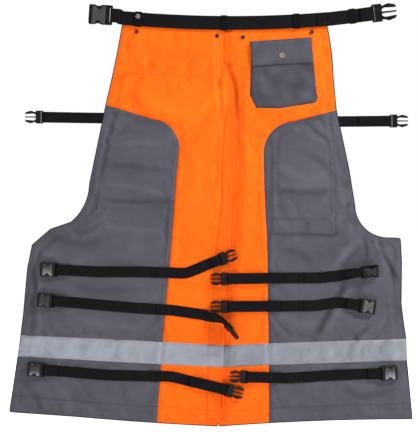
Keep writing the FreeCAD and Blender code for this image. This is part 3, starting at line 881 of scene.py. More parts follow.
    def build(self):
        tape_top, tape_low = self.tape_edges()
        lines = [self.seam] + self.stitched() + [tape_top, tape_low]
        flat, faces = triangulate(self.outline, lines, CELL)
        faces = turned(flat, faces, True)
        height, held = self.laid(flat, lines)
        placed_flat = flat
        placed_flat, height = self.relax(flat, height, faces, held)
        folds = fold_lines(flat, FOLDS[self.leg], FOLD_WIDTH, FOLD_STRENGTH)
        folds += fold_lines(flat, GATHERS[self.leg], 1, GATHER_STRENGTH)
        streaks = (cloth_noise(flat * [0.26, 1.0], 10, 31)
                   + 0.6 * cloth_noise(flat * [0.4, 1.0] + [0, 0.1], 21, 37))
        folds += WRINKLE * streaks * np.abs(streaks) ** 0.5
        folds *= smooth(self.edge_gap(flat), 1, 11)
        height += folds
        # Painted shade along the stitched lines, in the colour only.
        for line in self.stitched():
            folds -= 0.8 * bell(distance_to(flat, line), 2.2)
        if self.leg == "right":
            # Painted shadow under the thigh patch's lower edge.
            folds -= 1.5 * bell(distance_to(flat, PATCH_FOOT), 2.4)
            # Painted shadow: the cloth is darkened right beside the left leg's overlapping edge.
            painted_edge_shadow = bell(distance_to(flat, self.inner_edge) - UNDERLAP - 5, 5.5)
            folds -= painted_edge_shadow * (1.8 + 2.4 * smooth(flat[:, 1], 590, 700))
        # The cloth presses softly against what lies on it.
        limit = self.ceiling(flat)
        soft = limit - PRESS
        height = np.where(height > soft, limit - PRESS * np.exp(-(height - soft) / PRESS), height)
        height = np.maximum(height, self.back_height(flat) + 1.2)
        # The folds' lift, with the painted shade added above, becomes the painted light and shade of the cloth's
        # colour.
        self.rest = flat
        self.folds = folds
        self.front_points = placed(placed_flat, height)
        self.tree = BVHTree.FromPolygons([Vector(p) for p in self.front_points], faces)
        centres = np.array([flat[face].mean(0) for face in faces])
        in_side = inside(centres, self.side)
        in_facing = np.zeros(len(faces), bool)
        if self.leg == "left":
            in_facing = inside(centres, np.vstack([LEFT_FACING, [(300, -30), (300, 745)]])) & ~in_side
            self.piece("left_inner_facing", faces, in_facing, orange_facing, "orange_cloth")
        self.piece(self.leg + "_front_shell", faces, ~in_side & ~in_facing, orange,
                   "orange_cloth", "shell")
        self.piece(self.leg + "_side_panel", faces, in_side, grey, "grey_cloth", "side_panel")
        self.band(faces, inside(centres, np.vstack([tape_top, tape_low[::-1]])))
        border = border_loop(faces)
        self.lining()
        self.binding(placed_flat[border], height[border])

    def piece(self, name, faces, wanted, material, slot, stands_for=None):
        used, kept = subset(faces, wanted)
        obj = mesh_object(name, self.front_points[used], kept, material, self.rest[used])
        painted_shading_attribute(obj, self.folds[used])
        nodes = ["%s_%s_%s" % (self.leg, half, stands_for) for half in ("upper", "lower") if stands_for]
        settle(obj, slot, bend_at_knee, *nodes)

    def band(self, faces, wanted):
        """Reflective band sewn on the front, with its own thin edge."""
        used, kept = subset(faces, wanted)
        edge = border_loop(kept)
        both = used + [used[i] for i in edge]
        top = self.front_points[used] - [0, 0.75, 0]
        low = self.front_points[both[len(used):]] + [0, 0.3, 0]
        low[:, [0, 2]] += outward_of(low[:, [0, 2]]) * 0.35
        kept += skirt_faces(edge, range(len(used), len(both)))
        obj = mesh_object(self.leg + "_reflective_tape", np.vstack([top, low]), kept, tape_cloth,
                          self.rest[both])
        # Painted light and shade on the band: crease shade, with the left band painted paler and the right one
        # darker.
        painted_shading_attribute(obj, self.folds[both] + BAND_PAINTED_SHADING[self.leg])
        settle(obj, "reflective_tape", "lower", *(["reflective_tape"] if self.leg == "left" else []))

    def lining(self):
        flat, faces = triangulate(self.outline, [], CELL * 1.5)
        faces = turned(flat, faces, False)
        away = smooth(self.edge_gap(flat), 4, 20)
        puckers = away * (1.1 * cloth_noise(flat, 60, 8) + 0.8 * cloth_noise(flat, 26, 11))
        points = placed(flat, self.back_height(flat) + (away * 1.2 + puckers))
        self.back_tree = BVHTree.FromPolygons([Vector(p) for p in points], faces)
        obj = mesh_object(self.leg + "_lining", points, faces, lining_cloth, flat)
        # Painted light and shade: the lining is painted darker where its puckers rise and paler where they sink.
        painted_shading_attribute(obj, -puckers)
        nodes = ()
        if self.leg == "left":
            nodes = ("upper_linings", "lower_linings", "upper_padding", "lower_padding")
        settle(obj, "lining_mesh", bend_at_knee, *nodes)

    def binding(self, edge, front):
        """Narrow edge tape that closes the outline, and the turned-in cloth where the legs meet."""
        outward = outward_of(edge)
        back = self.back_height(edge)
        # Across the tape: distance outwards, rise, and share of the front's height.
        section = [(-1.5, 0.15, 1), (-1.1, 0.55, 1), (0.2, 0.6, 1), (0.8, 0.2, 0.8), (1.0, 0.0, 0.5),
                   (0.8, -0.2, 0.2), (0.2, -0.7, 0), (-4.0, -0.7, 0), (-4.6, -0.2, 0)]
        rings = []
        rest = []
        for out, rise, share in section:
            rings.append(placed(edge + outward * out, front * share + back * (1 - share) + rise))
            rest.append(np.column_stack([run_of(edge), np.full(len(edge), out + 8 * (1 - share))]))
        inner = is_inner(edge)
        top, low = [np.interp(edge[:, 0], line[:, 0], line[:, 1]) for line in self.tape_edges()]
        in_tape = inner & (edge[:, 1] < top) & (edge[:, 1] > low)
        for label, wanted, material, slot in (
                ("edge_binding", ~inner, binding_tape, "black_binding"),
                ("inner_edge_fold", inner & ~in_tape, orange, "orange_cloth"),
                ("tape_edge_fold", in_tape, tape_cloth, "reflective_tape")):
            faces = tube_faces(len(section), len(edge), wanted)
            used, faces = subset(faces, [True] * len(faces))
            name = "%s_%s" % (self.leg, label)
            obj = mesh_object(name, np.vstack(rings)[used], faces, material, np.vstack(rest)[used])
            nodes = ("upper_edge_binding", "lower_edge_binding") if name == "left_edge_binding" else ()
            settle(obj, slot, bend_at_knee, *nodes)

    def surface(self, x, z):
        """Height of the finished front at a place, 0 beside the leg."""
        hit = self.tree.ray_cast(Vector((x, -CLEAR, z)), Vector((0, 1, 0)))[0]
        return 0 if hit is None else BACK - hit.y

    def back_surface(self, x, z):
        """Height of the lining at a place, or None beside the leg."""
        hit = self.back_tree.ray_cast(Vector((x, CLEAR, z)), Vector((0, -1, 0)))[0]
        return None if hit is None else BACK - hit.y


legs = {leg: Leg(leg) for leg in ("left", "right")}
for one in legs.values():
    one.build()


def surface(x, z):
    """Height of whichever leg is in front at a place."""
    return max(one.surface(x, z) for one in legs.values()) or FULL_FRONT


def ground(x, z, reach=3.0):
    """Highest front close to a place."""
    around = ((0, 0), (reach, 0), (-reach, 0), (0, reach), (0, -reach))
    return max(surface(x + a, z + b) for a, b in around)


# ---------------------------------------------------------------- stitching
# A thread's corners: along, across and up, on the cloth and then on top; and its faces.
THREAD = ((-1, -1, 0), (1, -1, 0), (1, 1, 0), (-1, 1, 0),
          (-0.7, -0.5, 1), (0.7, -0.5, 1), (0.7, 0.5, 1), (-0.7, 0.5, 1))
THREAD_FACES = ((4, 5, 6, 7), (0, 1, 5, 4), (1, 2, 6, 5), (2, 3, 7, 6), (3, 0, 4, 7))


def stitches(name, lines, material, height=surface, finish=bend_at_knee, step=4.4, lift=0.25,
             back=False):
    """Short threads along lines, lying on the cloth (or at a given height)."""
    points = []
    faces = []
    rest = []
    half_long, half_wide, tall, sunk = step * 0.34, 0.42, 0.45, 0.25
    up = -1 if back else 1
    for line in lines:
        line = np.asarray(line, float)
        length = run_of(line)
        for run in np.arange(step / 2, length[-1], step):
            spot = np.array([np.interp(run, length, line[:, 0]), np.interp(run, length, line[:, 1])])
            segment = min(np.searchsorted(length, run), len(line) - 1)
            along = unit(line[segment] - line[segment - 1])
            side = np.array([-along[1], along[0]])
            if back:
                levels = [one.back_surface(*spot) for one in legs.values()]
                levels = [level for level in levels if level is not None]
                if not levels:
                    continue
                level = min(levels)
            else:
                level = height(*spot)
            level += lift * up
            first = len(points)
            for a, b, rise in THREAD:
                corner = spot + along * a * half_long + side * b * half_wide
                points.append((corner[0], BACK - level - up * (rise * tall - sunk), corner[1]))
                rest.append(corner)
            faces += [[first + i for i in quad[::up]] for quad in THREAD_FACES]
    obj = mesh_object(name, points, faces, material, rest)
    finish(obj)
    return obj


def runs_of(points, wanted):
    """Unbroken runs of the wanted points of a closed row."""
    runs = []
    run = []
    for i in list(range(len(points))) + [0]:
        if wanted[i] and (not run or np.linalg.norm(points[i] - run[-1]) < 20):
            run.append(points[i])
        else:
            runs.append(run)
            run = [points[i]] if wanted[i] else []
    return [np.array(run) for run in runs + [run] if len(run) > 2]


RIM_ROW = 7.0               # a row of stitches, in from the leg's edge
SEAM_ROWS = (-3.0, -9.0)    # two rows beside the seam, on the grey side
PATCH_ROWS = (2.5, 8.0)     # two rows in from a patch's edge
for leg, one in legs.items():
    sign = 1 if leg == "left" else -1
    rim = one.outline - outward_of(one.outline) * RIM_ROW
    rim = rim[distance_to(rim, one.outline, closed=True) > RIM_ROW - 0.4]
    grey_rim = inside(rim, one.side)
    beside_seam = [clipped(beside(one.seam, offset * sign), one.outline) for offset in SEAM_ROWS]
    rows = {"grey": beside_seam + runs_of(rim, grey_rim), "orange": runs_of(rim, ~grey_rim)}
    for line in one.stitched():
        whole = clipped(line, one.outline)
        if leg == "right" and any(np.array_equal(line, path) for path in THIGH_PATCH):
            rows["grey"].append(whole)
            continue
        in_grey = inside(whole, one.side)
        for colour, wanted in (("grey", in_grey), ("orange", ~in_grey)):
            if wanted.sum() > 2:
                rows[colour].append(whole[wanted])
    stitches(leg + "_grey_stitching", rows["grey"], grey_thread)
    stitches(leg + "_orange_stitching", rows["orange"], orange_thread)
    back_rows = [np.vstack([rim, rim[:1]]), clipped([(-400, PAD_TOP), (400, PAD_TOP)], one.outline, 8)]
    back_rows += [clipped(line, one.outline) for line in [HEM[leg]] + PAD_LINES[leg]]
    stitches(leg + "_lining_stitching", back_rows, light_thread, back=True, step=5.5)


# ---------------------------------------------------------------- sewn-on patches
def patch(name, outline, height_at, material, spacing=5.0, wall=2.0, closed=False, painted_shade_at=None):
    """A piece of cloth sewn on the front, with turned-down edges."""
    flat, faces = triangulate(outline, [], spacing)
    faces = turned(flat, faces, True)
    gap = distance_to(flat, outline, closed=True)
    points = placed(flat, np.array([height_at(x, z, edge) for (x, z), edge in zip(flat, gap)]))
    border = border_loop(faces)
    below = list(range(len(flat))) if closed else border
    low = points[below] + [0, wall, 0]
    first = len(points)
    under = [first + i for i in border] if closed else range(first, first + len(border))
    underside = [[first + i for i in face[::-1]] for face in faces] if closed else []
    rest = np.vstack([flat, flat[below]])
    faces = faces + skirt_faces(border, under) + underside
    obj = mesh_object(name, np.vstack([points, low]), faces, material, rest)
    if painted_shade_at is not None:
        creases = np.array([painted_shade_at(x, z, edge) for (x, z), edge in zip(flat, gap)])
        # Painted shade: the turned-down edges and underside are painted darker than the top.
        painted_shading_attribute(obj, np.concatenate([creases, creases[below] - 2.0]))
    return obj


strip_loop = face_loops("crotch_strip")[0]


def strip_height(x, z, edge):
    return ground(x, z) + 0.8 + 0.5 * smooth(edge, 0, 4)


strip = patch("crotch_strip_cloth", strip_loop, strip_height, orange_facing, spacing=4.0, wall=1.8)
settle(strip, "orange_cloth", "upper", "crotch_strip")

POUCH_RIM = 1.3
POUCH_SWELL = 3.1
POUCH_TOP = 14.6        # highest cloth of the pouch, and then of its part below the flap
POUCH_UNDER_FLAP = 13.2
FLAP_LEVEL = 15.0
FLAP_EDGE_Z = 838.0


def pouch_wave(x, z):
    """Slack of the pouch: a few creases that run down from its upper right."""
    spot = Vector((x * 0.5 + z * 0.35, 0, z * 0.5 - x * 0.2)) / 15
    return noise.noise(spot) * 1.6


def pouch_painted_shade(x, z, edge):
    """Painted shade along the seams and under the flap, with the slack's creases between."""
    seam = 1 - smooth(edge, 0, 6)
    flap_shadow = (1 - smooth(FLAP_EDGE_Z - z, 0, 9)) * (z < FLAP_EDGE_Z)
    return 1.4 * pouch_wave(x, z) - 1.2 - 2.4 * seam - 1.8 * flap_shadow


def pouch_height(x, z, edge):
    """The pouch swells below its flap, and its sides drop steeply to the seam."""
    swell = POUCH_SWELL * smooth(edge, 3, 34) * (1 - 0.8 * smooth(z, 812, 850))
    crease = 0.8 * pouch_wave(x, z) * smooth(edge, 6, 20)
    height = ground(x, z) + POUCH_RIM * smooth(edge, -1, 4) + swell + crease
    return min(height, POUCH_TOP if z < 822 else POUCH_UNDER_FLAP)


pouch = patch("pocket_pouch_cloth", POUCH, pouch_height, grey, wall=3.0, painted_shade_at=pouch_painted_shade)
settle(pouch, "grey_cloth", "upper", "pocket_pouch")

flap_loop = max(face_loops("pocket_flap"), key=lambda loop: np.ptp(loop[:, 0]))
flap_hinge = np.array([[91.0, 883.0], [233.0, 893.0]])
FLAP_LEFT, FLAP_WIDE = 91, 142
hinge_along = unit(flap_hinge[1] - flap_hinge[0])
hinge_up = np.array([-hinge_along[1], hinge_along[0]])
TAB = 6.0               # the flap's cloth above its hinge, sewn to the leg
at_hinge = distance_to(flap_loop, flap_hinge) < 2
tab_loop = flap_loop + at_hinge[:, None] * hinge_up * TAB


# Painted shade on the flap: darker along its edge and in the slack's creases.
def flap_painted_shade(x, z, edge):
    return 0.9 * pouch_wave(x + 300, z) - 1.6 * (1 - smooth(edge, 0, 3))


def flap_height(x, z, edge):
    """Flat over the pouch, down to the leg at its sewn top edge, lifted a little at the free one."""
    above = (np.array([x, z]) - flap_hinge[0]) @ hinge_up
    sewn = smooth(above, -2, TAB)
    free = 0.3 * math.sin((x - FLAP_LEFT) / FLAP_WIDE * math.pi * 2) * smooth(-above, 20, 48)
    return (FLAP_LEVEL + free) * (1 - sewn) + (ground(x, z) + 1.3) * sewn


def lift_with_flap(obj):
    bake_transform(obj)


flap = patch("pocket_flap_cloth", tab_loop, flap_height, grey, spacing=4.0, wall=1.3, closed=True,
             painted_shade_at=flap_painted_shade)
settle(flap, "grey_cloth", lift_with_flap, "pocket_flap")


def ride_upper(obj):
    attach(obj, "upper")


def ride_lower(obj):
    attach(obj, "lower")


def top_of(obj):
    """Height of a finished piece at a place, or of the legs beside it."""
    tree = BVHTree.FromObject(obj, bpy.context.evaluated_depsgraph_get())

    def level(x, z):
        hit = tree.ray_cast(Vector((x, -CLEAR, z)) * MM, Vector((0, 1, 0)))[0]
        return surface(x, z) if hit is None else BACK - hit.y / MM
    return level


for name, loop, height, finish in (("pocket_pouch_stitching", POUCH, top_of(pouch), ride_upper),
                                   ("pocket_flap_stitching", flap_loop, top_of(flap), lift_with_flap)):
    stitches(name, [shrunk(loop, row) for row in PATCH_ROWS], grey_thread, height, finish)
stitches("crotch_strip_stitching", [shrunk(strip_loop, PATCH_ROWS[0])], orange_thread,
         finish=ride_upper, lift=1.6)
tape_rows = []
for one in legs.values():
    top, low = one.tape_edges()
    inward = np.array([0, PATCH_ROWS[0]])
    tape_rows += [clipped(line, one.outline, 5) for line in (top - inward, low + inward)]
stitches("reflective_tape_stitching", tape_rows, light_thread, finish=ride_lower, lift=0.9)


# ---------------------------------------------------------------- webbing
LAYER = 2.1             # webbing's middle, away from the buckle's middle
CALF_MIDDLE = 15.2      # height of the calf buckles' middle
THIGH_MIDDLE = 5.5
CALF_WIDE = 25.0
WEB = 1.6               # thickness
BAR_GAP = 3.5           # webbing nearer to the bar than this belongs to the loop round it
# Webbing's section: shares of its width and thickness.
SECTION = ((-0.5, 0.0), (-0.485, 0.36), (-0.44, 0.5), (-0.15, 0.46), (0.15, 0.46), (0.44, 0.5),
           (0.485, 0.36), (0.5, 0.0), (0.485, -0.36), (0.44, -0.5), (-0.44, -0.5), (-0.485, -0.36))


def ribbon(name, centres, across, width, thick=WEB):
    """Webbing along 3-D points; across is the direction of its width at each point."""
    centres = np.asarray(centres, float)
    points = []
    rest = []
    directions = np.gradient(centres, axis=0)
    for centre, direction, side, run in zip(centres, directions, across, run_of(centres)):
        direction = unit(direction)
        side = unit(side - direction * (side @ direction))
        normal = np.cross(direction, side)
        for share, rise in SECTION:
            points.append(centre + side * share * width + normal * rise * thick)
            rest.append((run, share * width + (width if rise < 0 else 0)))
    count = len(SECTION)
    ends = [list(range(count))[::-1], list(range(len(points) - count, len(points)))]
    obj = mesh_object(name, points, tube_faces(len(centres), count) + ends, webbing, rest)
    bpy.context.view_layer.update()
    return obj


class Place:
    """A buckle's own frame: along its length, across its width, and its back direction."""

    def __init__(self, x, z, heading, depth, roll=0.0):
        turn, tip = math.radians(heading), math.radians(roll)
        level_across = np.array([-math.sin(turn), 0, math.cos(turn)])
        backward = np.array([0.0, 1.0, 0.0])
        self.origin = np.array([x, BACK - depth, z])
        self.along = np.array([math.cos(turn), 0, math.sin(turn)])
        self.back = math.cos(tip) * backward + math.sin(tip) * level_across
        self.across = -math.sin(tip) * backward + math.cos(tip) * level_across

    def at(self, along, back=0.0, across=0.0):
        return self.origin + self.along * along + self.back * back + self.across * across

    def same_way(self, across):
        """Width directions turned round if they run against the buckle's."""
        return -across if across[-1] @ self.across < 0 else across


def heading_of(path):
    (x0, z0), (x1, z1) = path[-2:]
    return math.degrees(math.atan2(z1 - z0, x1 - x0))


def place_at_end(path, depth):
    return Place(*path[-1], heading_of(path), depth)


def upright(side):
    """Flat directions as 3-D ones."""
    return np.column_stack([side[:, 0], np.zeros(len(side)), side[:, 1]])


def lying(path, width, middle=CALF_MIDDLE, spacing=5.0):
    """3-D points of webbing that lies along a path on the cloth, and its width directions."""
    path = np.asarray(path, float)
    length = run_of(path)
    runs = np.linspace(0, length[-1], max(4, int(length[-1] / spacing)))
    flat = softened(np.column_stack([np.interp(runs, length, path[:, axis]) for axis in (0, 1)]), 3)
    side = left_of(flat)
    base = middle - LAYER
    below = np.array([max(surface(*(spot + across * width * share)) for share in (-0.4, 0, 0.4))
                      for spot, across in zip(flat, side)])
    height = softened(base + np.clip(below + WEB / 2 + 0.25 - base, -1.3, 0.2), 4)
    return placed(flat, height), upright(side)


def loop_round_bar(place, tail, thick=WEB, layer=LAYER):
    """Webbing from the back of the bar, round it, and back as a doubled tail."""
    centres = []
    for angle in np.linspace(-90, 90, 9):
        turn = math.radians(angle)
        centres.append(place.at(math.cos(turn) * layer, -math.sin(turn) * layer))
    close = 2 * layer - thick - 0.25                # how far the tail sinks to lie on the other layer
    for run in np.arange(5, tail + 0.1, 5.0):
        lift = 0.96 * smooth(run, tail - 12, tail) if tail > 40 else 0.0
        centres.append(place.at(-run, -layer + close * smooth(run, 6, 34) - lift))
    return np.array(centres)


def blend_strap(obj):
    """Bake the strap's place into its mesh."""
    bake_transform(obj)


def like(before, across, count):
    """A width direction repeated, turned round if it runs against the one before."""
    return np.tile(-across if before @ across < 0 else across, (count, 1))


def strap(name, start, path, tail):
    """One free strap: sewn end, run, loop round the buckle's bar and doubled tail."""
    place = place_at_end(path, CALF_MIDDLE)
    centres, across = lying(np.vstack([start, path]), CALF_WIDE)
    run = lengths(centres - place.at(0))
    close = 1 - smooth(run, 4, 40)
    centres[:, 1] = centres[:, 1] * (1 - close) + place.at(0, LAYER)[1] * close
    centres, across = centres[run > BAR_GAP], across[run > BAR_GAP]
    turn = loop_round_bar(place, tail)
    sides = like(across[-1], place.across, len(turn))
    return ribbon(name, np.vstack([centres, turn]), np.vstack([across, sides]), CALF_WIDE)


TWISTED = {
    "left_middle_inner": Place(37, 236, -52, 26.6, 75),
    "right_top_outer": Place(347, 357, 6, 25.0, 45),
}
TWISTED_TAIL = 44
TWIST_STEPS = 12


def twisted(name, start, path, place):
    """Webbing that lies flat, then twists up to a buckle on its edge, with its tail alongside."""
    centres, across = lying(np.vstack([start, path]), CALF_WIDE)
    across = place.same_way(across)
    stop = place.at(-6, LAYER)
    first = centres[-1]
    gap = np.linalg.norm(stop - first)
    lead = unit(unit(centres[-1] - centres[-2]) * 0.4 + place.along * 0.6) * gap * 0.8
    arrive = place.along * gap
    points = []
    sides = []
    for step in range(1, TWIST_STEPS + 1):
        t = step / TWIST_STEPS
        points.append((2 * t ** 3 - 3 * t ** 2 + 1) * first + (t ** 3 - 2 * t ** 2 + t) * lead
                      + (3 * t ** 2 - 2 * t ** 3) * stop + (t ** 3 - t ** 2) * arrive)
        sides.append(across[-1] * (1 - t) + place.across * t)
    turn = loop_round_bar(place, TWISTED_TAIL)[:9]
    tail_points = []
    tail_sides = []
    for step in range(1, int(TWISTED_TAIL / 5)):
        t = min(step * 5 / 60, 1.0)
        index = max(0, TWIST_STEPS - 1 - int(step * TWIST_STEPS * 5 / max(gap, 1)))
        line = unit(np.cross(sides[index], place.along))
        if line @ (-place.back) < 0:
            line = -line
        tail_points.append(points[index] + line * (2 * LAYER * (1 - t) + 2.0 * t))
        tail_sides.append(sides[index])
    centres = np.vstack([centres, points, turn, tail_points])
    across = np.vstack([across, sides, np.tile(place.across, (len(turn), 1)), tail_sides])
    return ribbon(name, centres, across, CALF_WIDE)


def sewn_box(middle, heading, long=20, wide=18):
    """A box with a cross in it, the usual way to sew webbing down."""
    turn = math.radians(heading)
    along = np.array([math.cos(turn), math.sin(turn)]) * long / 2
    across = np.array([-math.sin(turn), math.cos(turn)]) * wide / 2
    a, b = middle - along - across, middle + along - across
    c, d = middle + along + across, middle - along + across
    return [np.array([a, b, c, d, a]), np.array([a, c]), np.array([b, d])]


OUTER_TAIL = 34
boxes = []
for name, (middle, outer, inner, tail) in CALF.items():
    centre = np.mean(middle, axis=0)
    outer_end, inner_end = sorted(middle, key=lambda point: abs(point[0] - outer[0][0]))
    for end, path, edge, left_over in (("outer", outer, outer_end, OUTER_TAIL),
                                       ("inner", inner, inner_end, tail)):
        body = "%s_%s" % (name, end)
        title = "%s_calf_%s_webbing" % (name, end)
        start = np.array([centre, edge], float)
        if body in TWISTED:
            obj = twisted(title, start, path, TWISTED[body])
        else:
            obj = strap(title, start, path, left_over)
        blend_strap(obj)
        nodes = ["%s_calf_%s_strap" % (name, end)] + ["calf_strap_anchors"] * (body == "left_top_outer")
        settle(obj, "black_webbing", None, *nodes)
        boxes += sewn_box(np.array(edge) * 0.72 + centre * 0.28, heading_of(middle))
stitches("calf_strap_stitching", boxes, black_thread, finish=ride_lower, step=3.0, lift=WEB + 0.35)

# Thigh straps: sewn in between the layers at the leg's outer edge.
THIGH_EDGE = 5.0
for leg, start, path, tail, hinge in (
        ("left", (-240, 712.8), [(-258, 713), (-389, 715)], 66, (-257, 713)),
        ("right", (286, 705), [(304, 705), (415, 706)], 76, (303, 705))):
    flat = curve_through(np.vstack([start, path]), 6)
    place = place_at_end(path, THIGH_MIDDLE)
    run = np.abs(flat[:, 0] - start[0])
    height = THIGH_EDGE + (THIGH_MIDDLE - LAYER - THIGH_EDGE) * smooth(run, 20, 60)
    wave = 0.9 * np.sin(run / 21.0) * smooth(run, 30, 60) * (1 - smooth(run, run[-1] - 45, run[-1]))
    centres = placed(flat, height + np.abs(wave))
    centres = centres[lengths(centres - place.at(0)) > BAR_GAP]
    centres = np.vstack([centres, loop_round_bar(place, tail)])
    obj = ribbon(leg + "_thigh_webbing", centres, np.tile(place.across, (len(centres), 1)), CALF_WIDE)
    blend_strap(obj)
    settle(obj, "black_webbing", None, leg + "_thigh_strap")

# Waist belt: one sagging middle and two free ends.
BELT_WIDE = 32.0
BELT_THICK = 2.0
BELT_LEVEL = 12.2
BELT_MIDDLE = 14.5
BELT_LEFT_END = [(-212, 948), (-229, 949)]
BELT_RIGHT_END = [(274.5, 941), (373, 953)]


def arc_through(a, b, c):
    """Circle through three points: its centre and radius."""
    (ax, ay), (bx, by), (cx, cy) = a, b, c
    aa, bb, cc = ax * ax + ay * ay, bx * bx + by * by, cx * cx + cy * cy
    d = 2 * (ax * (by - cy) + bx * (cy - ay) + cx * (ay - by))
    x = (aa * (by - cy) + bb * (cy - ay) + cc * (ay - by)) / d
    z = (aa * (cx - bx) + bb * (ax - cx) + cc * (bx - ax)) / d
    return x, z, math.hypot(ax - x, ay - z)


ARC_X, ARC_Z, ARC_RADIUS = arc_through((-208, 944), (30, 932), (271, 941))


def belt_line(first, last):
    x = np.linspace(first, last, max(3, int(abs(last - first) / 6)))
    return np.column_stack([x, ARC_Z - np.sqrt(ARC_RADIUS ** 2 - (x - ARC_X) ** 2)])


def belt_ribbon(name, flat, turn=(), turn_across=None):
    centres = placed(flat, BELT_LEVEL + 0.35 * np.sin(flat[:, 0] / 19.0))
    across = upright(left_of(flat))
    if len(turn):
        sides = like(across[-1], turn_across, len(turn))
        centres, across = np.vstack([centres, turn]), np.vstack([across, sides])
    return ribbon(name, centres, across, BELT_WIDE, BELT_THICK)


settle(belt_ribbon("waist_belt_webbing", belt_line(-182, 242)), "black_webbing", "upper", "waist_belt")
for side, near_end, ends, tail, hinge in (
        ("left", belt_line(-182, -208), BELT_LEFT_END, 22, (-210, 948)),
        ("right", belt_line(242, 271), BELT_RIGHT_END, 34, (272.8, 941))):
    place = place_at_end(ends, BELT_MIDDLE)
    flat = curve_through(np.vstack([near_end[::3], ends]), 5)
    flat = flat[lengths(flat - ends[-1]) > 4]
    turn = loop_round_bar(place, tail, BELT_THICK, BELT_MIDDLE - BELT_LEVEL)
    obj = belt_ribbon("waist_belt_%s_webbing" % side, flat, turn, place.across)
    blend_strap(obj)
    settle(obj, "black_webbing", None, "waist_belt_%s_end" % side)


# ---------------------------------------------------------------- hard pieces kept from the frame
# Words in a node's name, its material and the width of its softened edges.
FINISHES = (
    (("buckle", "socket", "plug", "latch"), plastic, 0.6),
    (("belt_eyelet",), nickel, 0.4),
    (("pocket_snap",), brass, 0.3),
    (("waist_rivets",), rivet_paint, 0.4),
    (("belt_loops", "belt_keeper"), webbing, 0.3),
)
for node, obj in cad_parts.items():
    for words, material, bevel in FINISHES:
        if any(word in node for word in words):
            obj.data.materials.clear()
            obj.data.materials.append(material)
            edge = obj.modifiers.new("soft_edges", "BEVEL")
            edge.width = bevel * MM
            edge.segments = 2
            edge.limit_method = "ANGLE"
            edge.angle_limit = math.radians(40)
            edge.harden_normals = True

# Glint on each calf socket's face in the photo: how much paler its lower edge is,
# and how fast that fades upwards.
GLINTS = {
    "left_top": (10.0, 2.2), "left_middle": (4.0, 6.0), "left_bottom": (11.0, 4.0),
    "right_top": (-0.4, 0.0), "right_middle": (2.2, 0.0), "right_bottom": (10.0, 1.5),
}
FACE_STEPS = 14
FACE_ROW = 9


def socket_face(name, place, width, thick, body, material=face_plastic, glint=(0.0, 0.0)):
    """A socket's moulded face: wide at both ends, pinched where the latches show."""
    long = width * 1.16
    wide = width / 2 - 1.8
    points = []
    for step in range(FACE_STEPS + 1):
        t = step / FACE_STEPS
        pinch = 1 - 0.42 * math.exp(-((t - 0.52) / 0.2) ** 2)
        half = wide * pinch * (0.96 if step in (0, FACE_STEPS) else 1)
        swell = 0.75 * math.sin(math.pi * min(max(t, 0.04), 0.96)) ** 0.35
        for share in np.linspace(-1, 1, FACE_ROW):
            crown = swell * (1 - share ** 4)
            points.append(place.at(long * (0.27 + 0.59 * t), -(thick / 2 + 0.1 + crown), half * share))
    faces = tube_faces(FACE_STEPS + 1, FACE_ROW, closed=False)
    count = len(points)
    last = FACE_STEPS * FACE_ROW
    edge = (list(range(FACE_ROW)) + list(range(2 * FACE_ROW - 1, count, FACE_ROW))
            + list(range(count - 2, last - 1, -1)) + list(range(last - FACE_ROW, 0, -FACE_ROW)))
    points += [points[i] + place.back * 0.9 for i in edge]
    faces += skirt_faces(edge, range(count, len(points)))
    obj = mesh_object(name, points, faces, material, [(0, 0)] * len(points))
    for polygon in obj.data.polygons:
        polygon.use_smooth = polygon.index < FACE_STEPS * (FACE_ROW - 1)
    # Painted glint: the face's colour is painted paler towards its lower edge.
    upward = np.array([(point[2] - place.origin[2]) / (2 * wide) + 0.5 for point in points])
    painted_shading_attribute(obj, glint[0] * (1 - np.clip(upward, 0, 1)) ** glint[1])
    settle(obj, "black_plastic", body)


for name, strap_parts in CALF.items():
    body = name + "_outer"
    place = TWISTED.get(body) or place_at_end(strap_parts[1], CALF_MIDDLE)
    socket_face(name + "_socket_face", place, 33.0, 9.0, body, glint=GLINTS[name])
socket_face("waist_socket_face", place_at_end(BELT_LEFT_END, BELT_MIDDLE), 45.0, 11.0, "belt_left",
            waist_face_plastic)

# ---------------------------------------------------------------- floor, light and camera
WHITE = (1, 1, 1, 1)
FLOOR_LEVEL = -3
FLOOR_REACH = 6000
floor_shader = Shader("floor")
floor_shader.set(Base_Color=(0.9, 0.9, 0.9, 1), Roughness=0.9, Emission_Color=WHITE,
                 Emission_Strength=0.78)
floor = mesh_object("floor", [(x * FLOOR_REACH, y * FLOOR_REACH, FLOOR_LEVEL)
                              for x, y in ((-1, -1), (1, -1), (1, 1), (-1, 1))],
                    [[0, 1, 2, 3]], floor_shader.material)
floor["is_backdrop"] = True

world = bpy.data.worlds.new("studio")
world.use_nodes = True
bpy.context.scene.world = world
tree = world.node_tree


def backdrop(node, strength):
    node.inputs["Color"].default_value = WHITE
    node.inputs["Strength"].default_value = strength
    return node


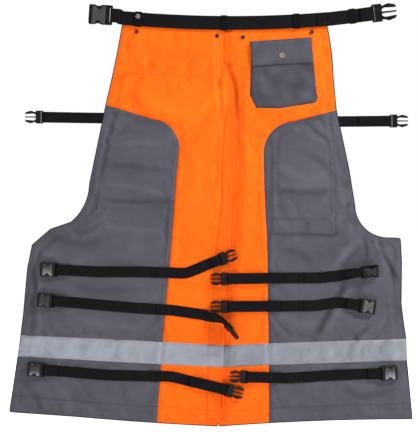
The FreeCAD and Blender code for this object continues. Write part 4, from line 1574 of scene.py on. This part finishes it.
def choose(ray, other, wanted):
    """One shader for a kind of ray, another for all other rays."""
    node = tree.nodes.new("ShaderNodeMixShader")
    tree.links.new(rays.outputs[ray], node.inputs["Fac"])
    tree.links.new(other.outputs[0], node.inputs[1])
    tree.links.new(wanted.outputs[0], node.inputs[2])
    return node


rays = tree.nodes.new("ShaderNodeLightPath")
light = backdrop(tree.nodes["Background"], 0.33)
# Shiny things see a darker room, so that only the lamps glint on them.
room = backdrop(tree.nodes.new("ShaderNodeBackground"), 0.22)
seen = backdrop(tree.nodes.new("ShaderNodeBackground"), 1.0)
studio = choose("Is Camera Ray", choose("Is Glossy Ray", light, room), seen)
tree.links.new(studio.outputs[0], tree.nodes["World Output"].inputs["Surface"])

LAMP_TARGET = Vector((0, 0, 0.5))
# Name, place and size in metres, power in watts.
LAMPS = (
    ("key", (1.9, -1.15, 2.3), 0.6, 98),
    ("fill", (-1.9, -2.6, 0.8), 2.2, 20),
    ("behind", (-0.6, 2.6, 2.2), 2.0, 34),
)
for name, place, size, power in LAMPS:
    data = bpy.data.lights.new(name, "AREA")
    data.shape = "SQUARE"
    data.size = size
    data.energy = power
    lamp = bpy.data.objects.new(name, data)
    lamp.location = place
    lamp.rotation_euler = (LAMP_TARGET - Vector(place)).to_track_quat("-Z", "Y").to_euler()
    bpy.context.scene.collection.objects.link(lamp)

bpy.context.scene.view_settings.view_transform = "Standard"
bpy.context.scene.view_settings.look = "None"

PICTURE_HIGH = 1.005                       # metres of object over the picture's long side
PICTURE_CENTRE = Vector((-0.0044, 0, 0.481))
camera_data = bpy.data.cameras.new("camera")
camera_data.lens = 135
camera_data.sensor_width = 36
camera_data.clip_end = 100
distance = PICTURE_HIGH * camera_data.lens / camera_data.sensor_width
camera = bpy.data.objects.new("camera", camera_data)
camera.location = PICTURE_CENTRE + Vector((0, -distance, 0))
camera.rotation_euler = (math.radians(90), 0, 0)
bpy.context.scene.collection.objects.link(camera)
bpy.context.scene.camera = camera

low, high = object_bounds()
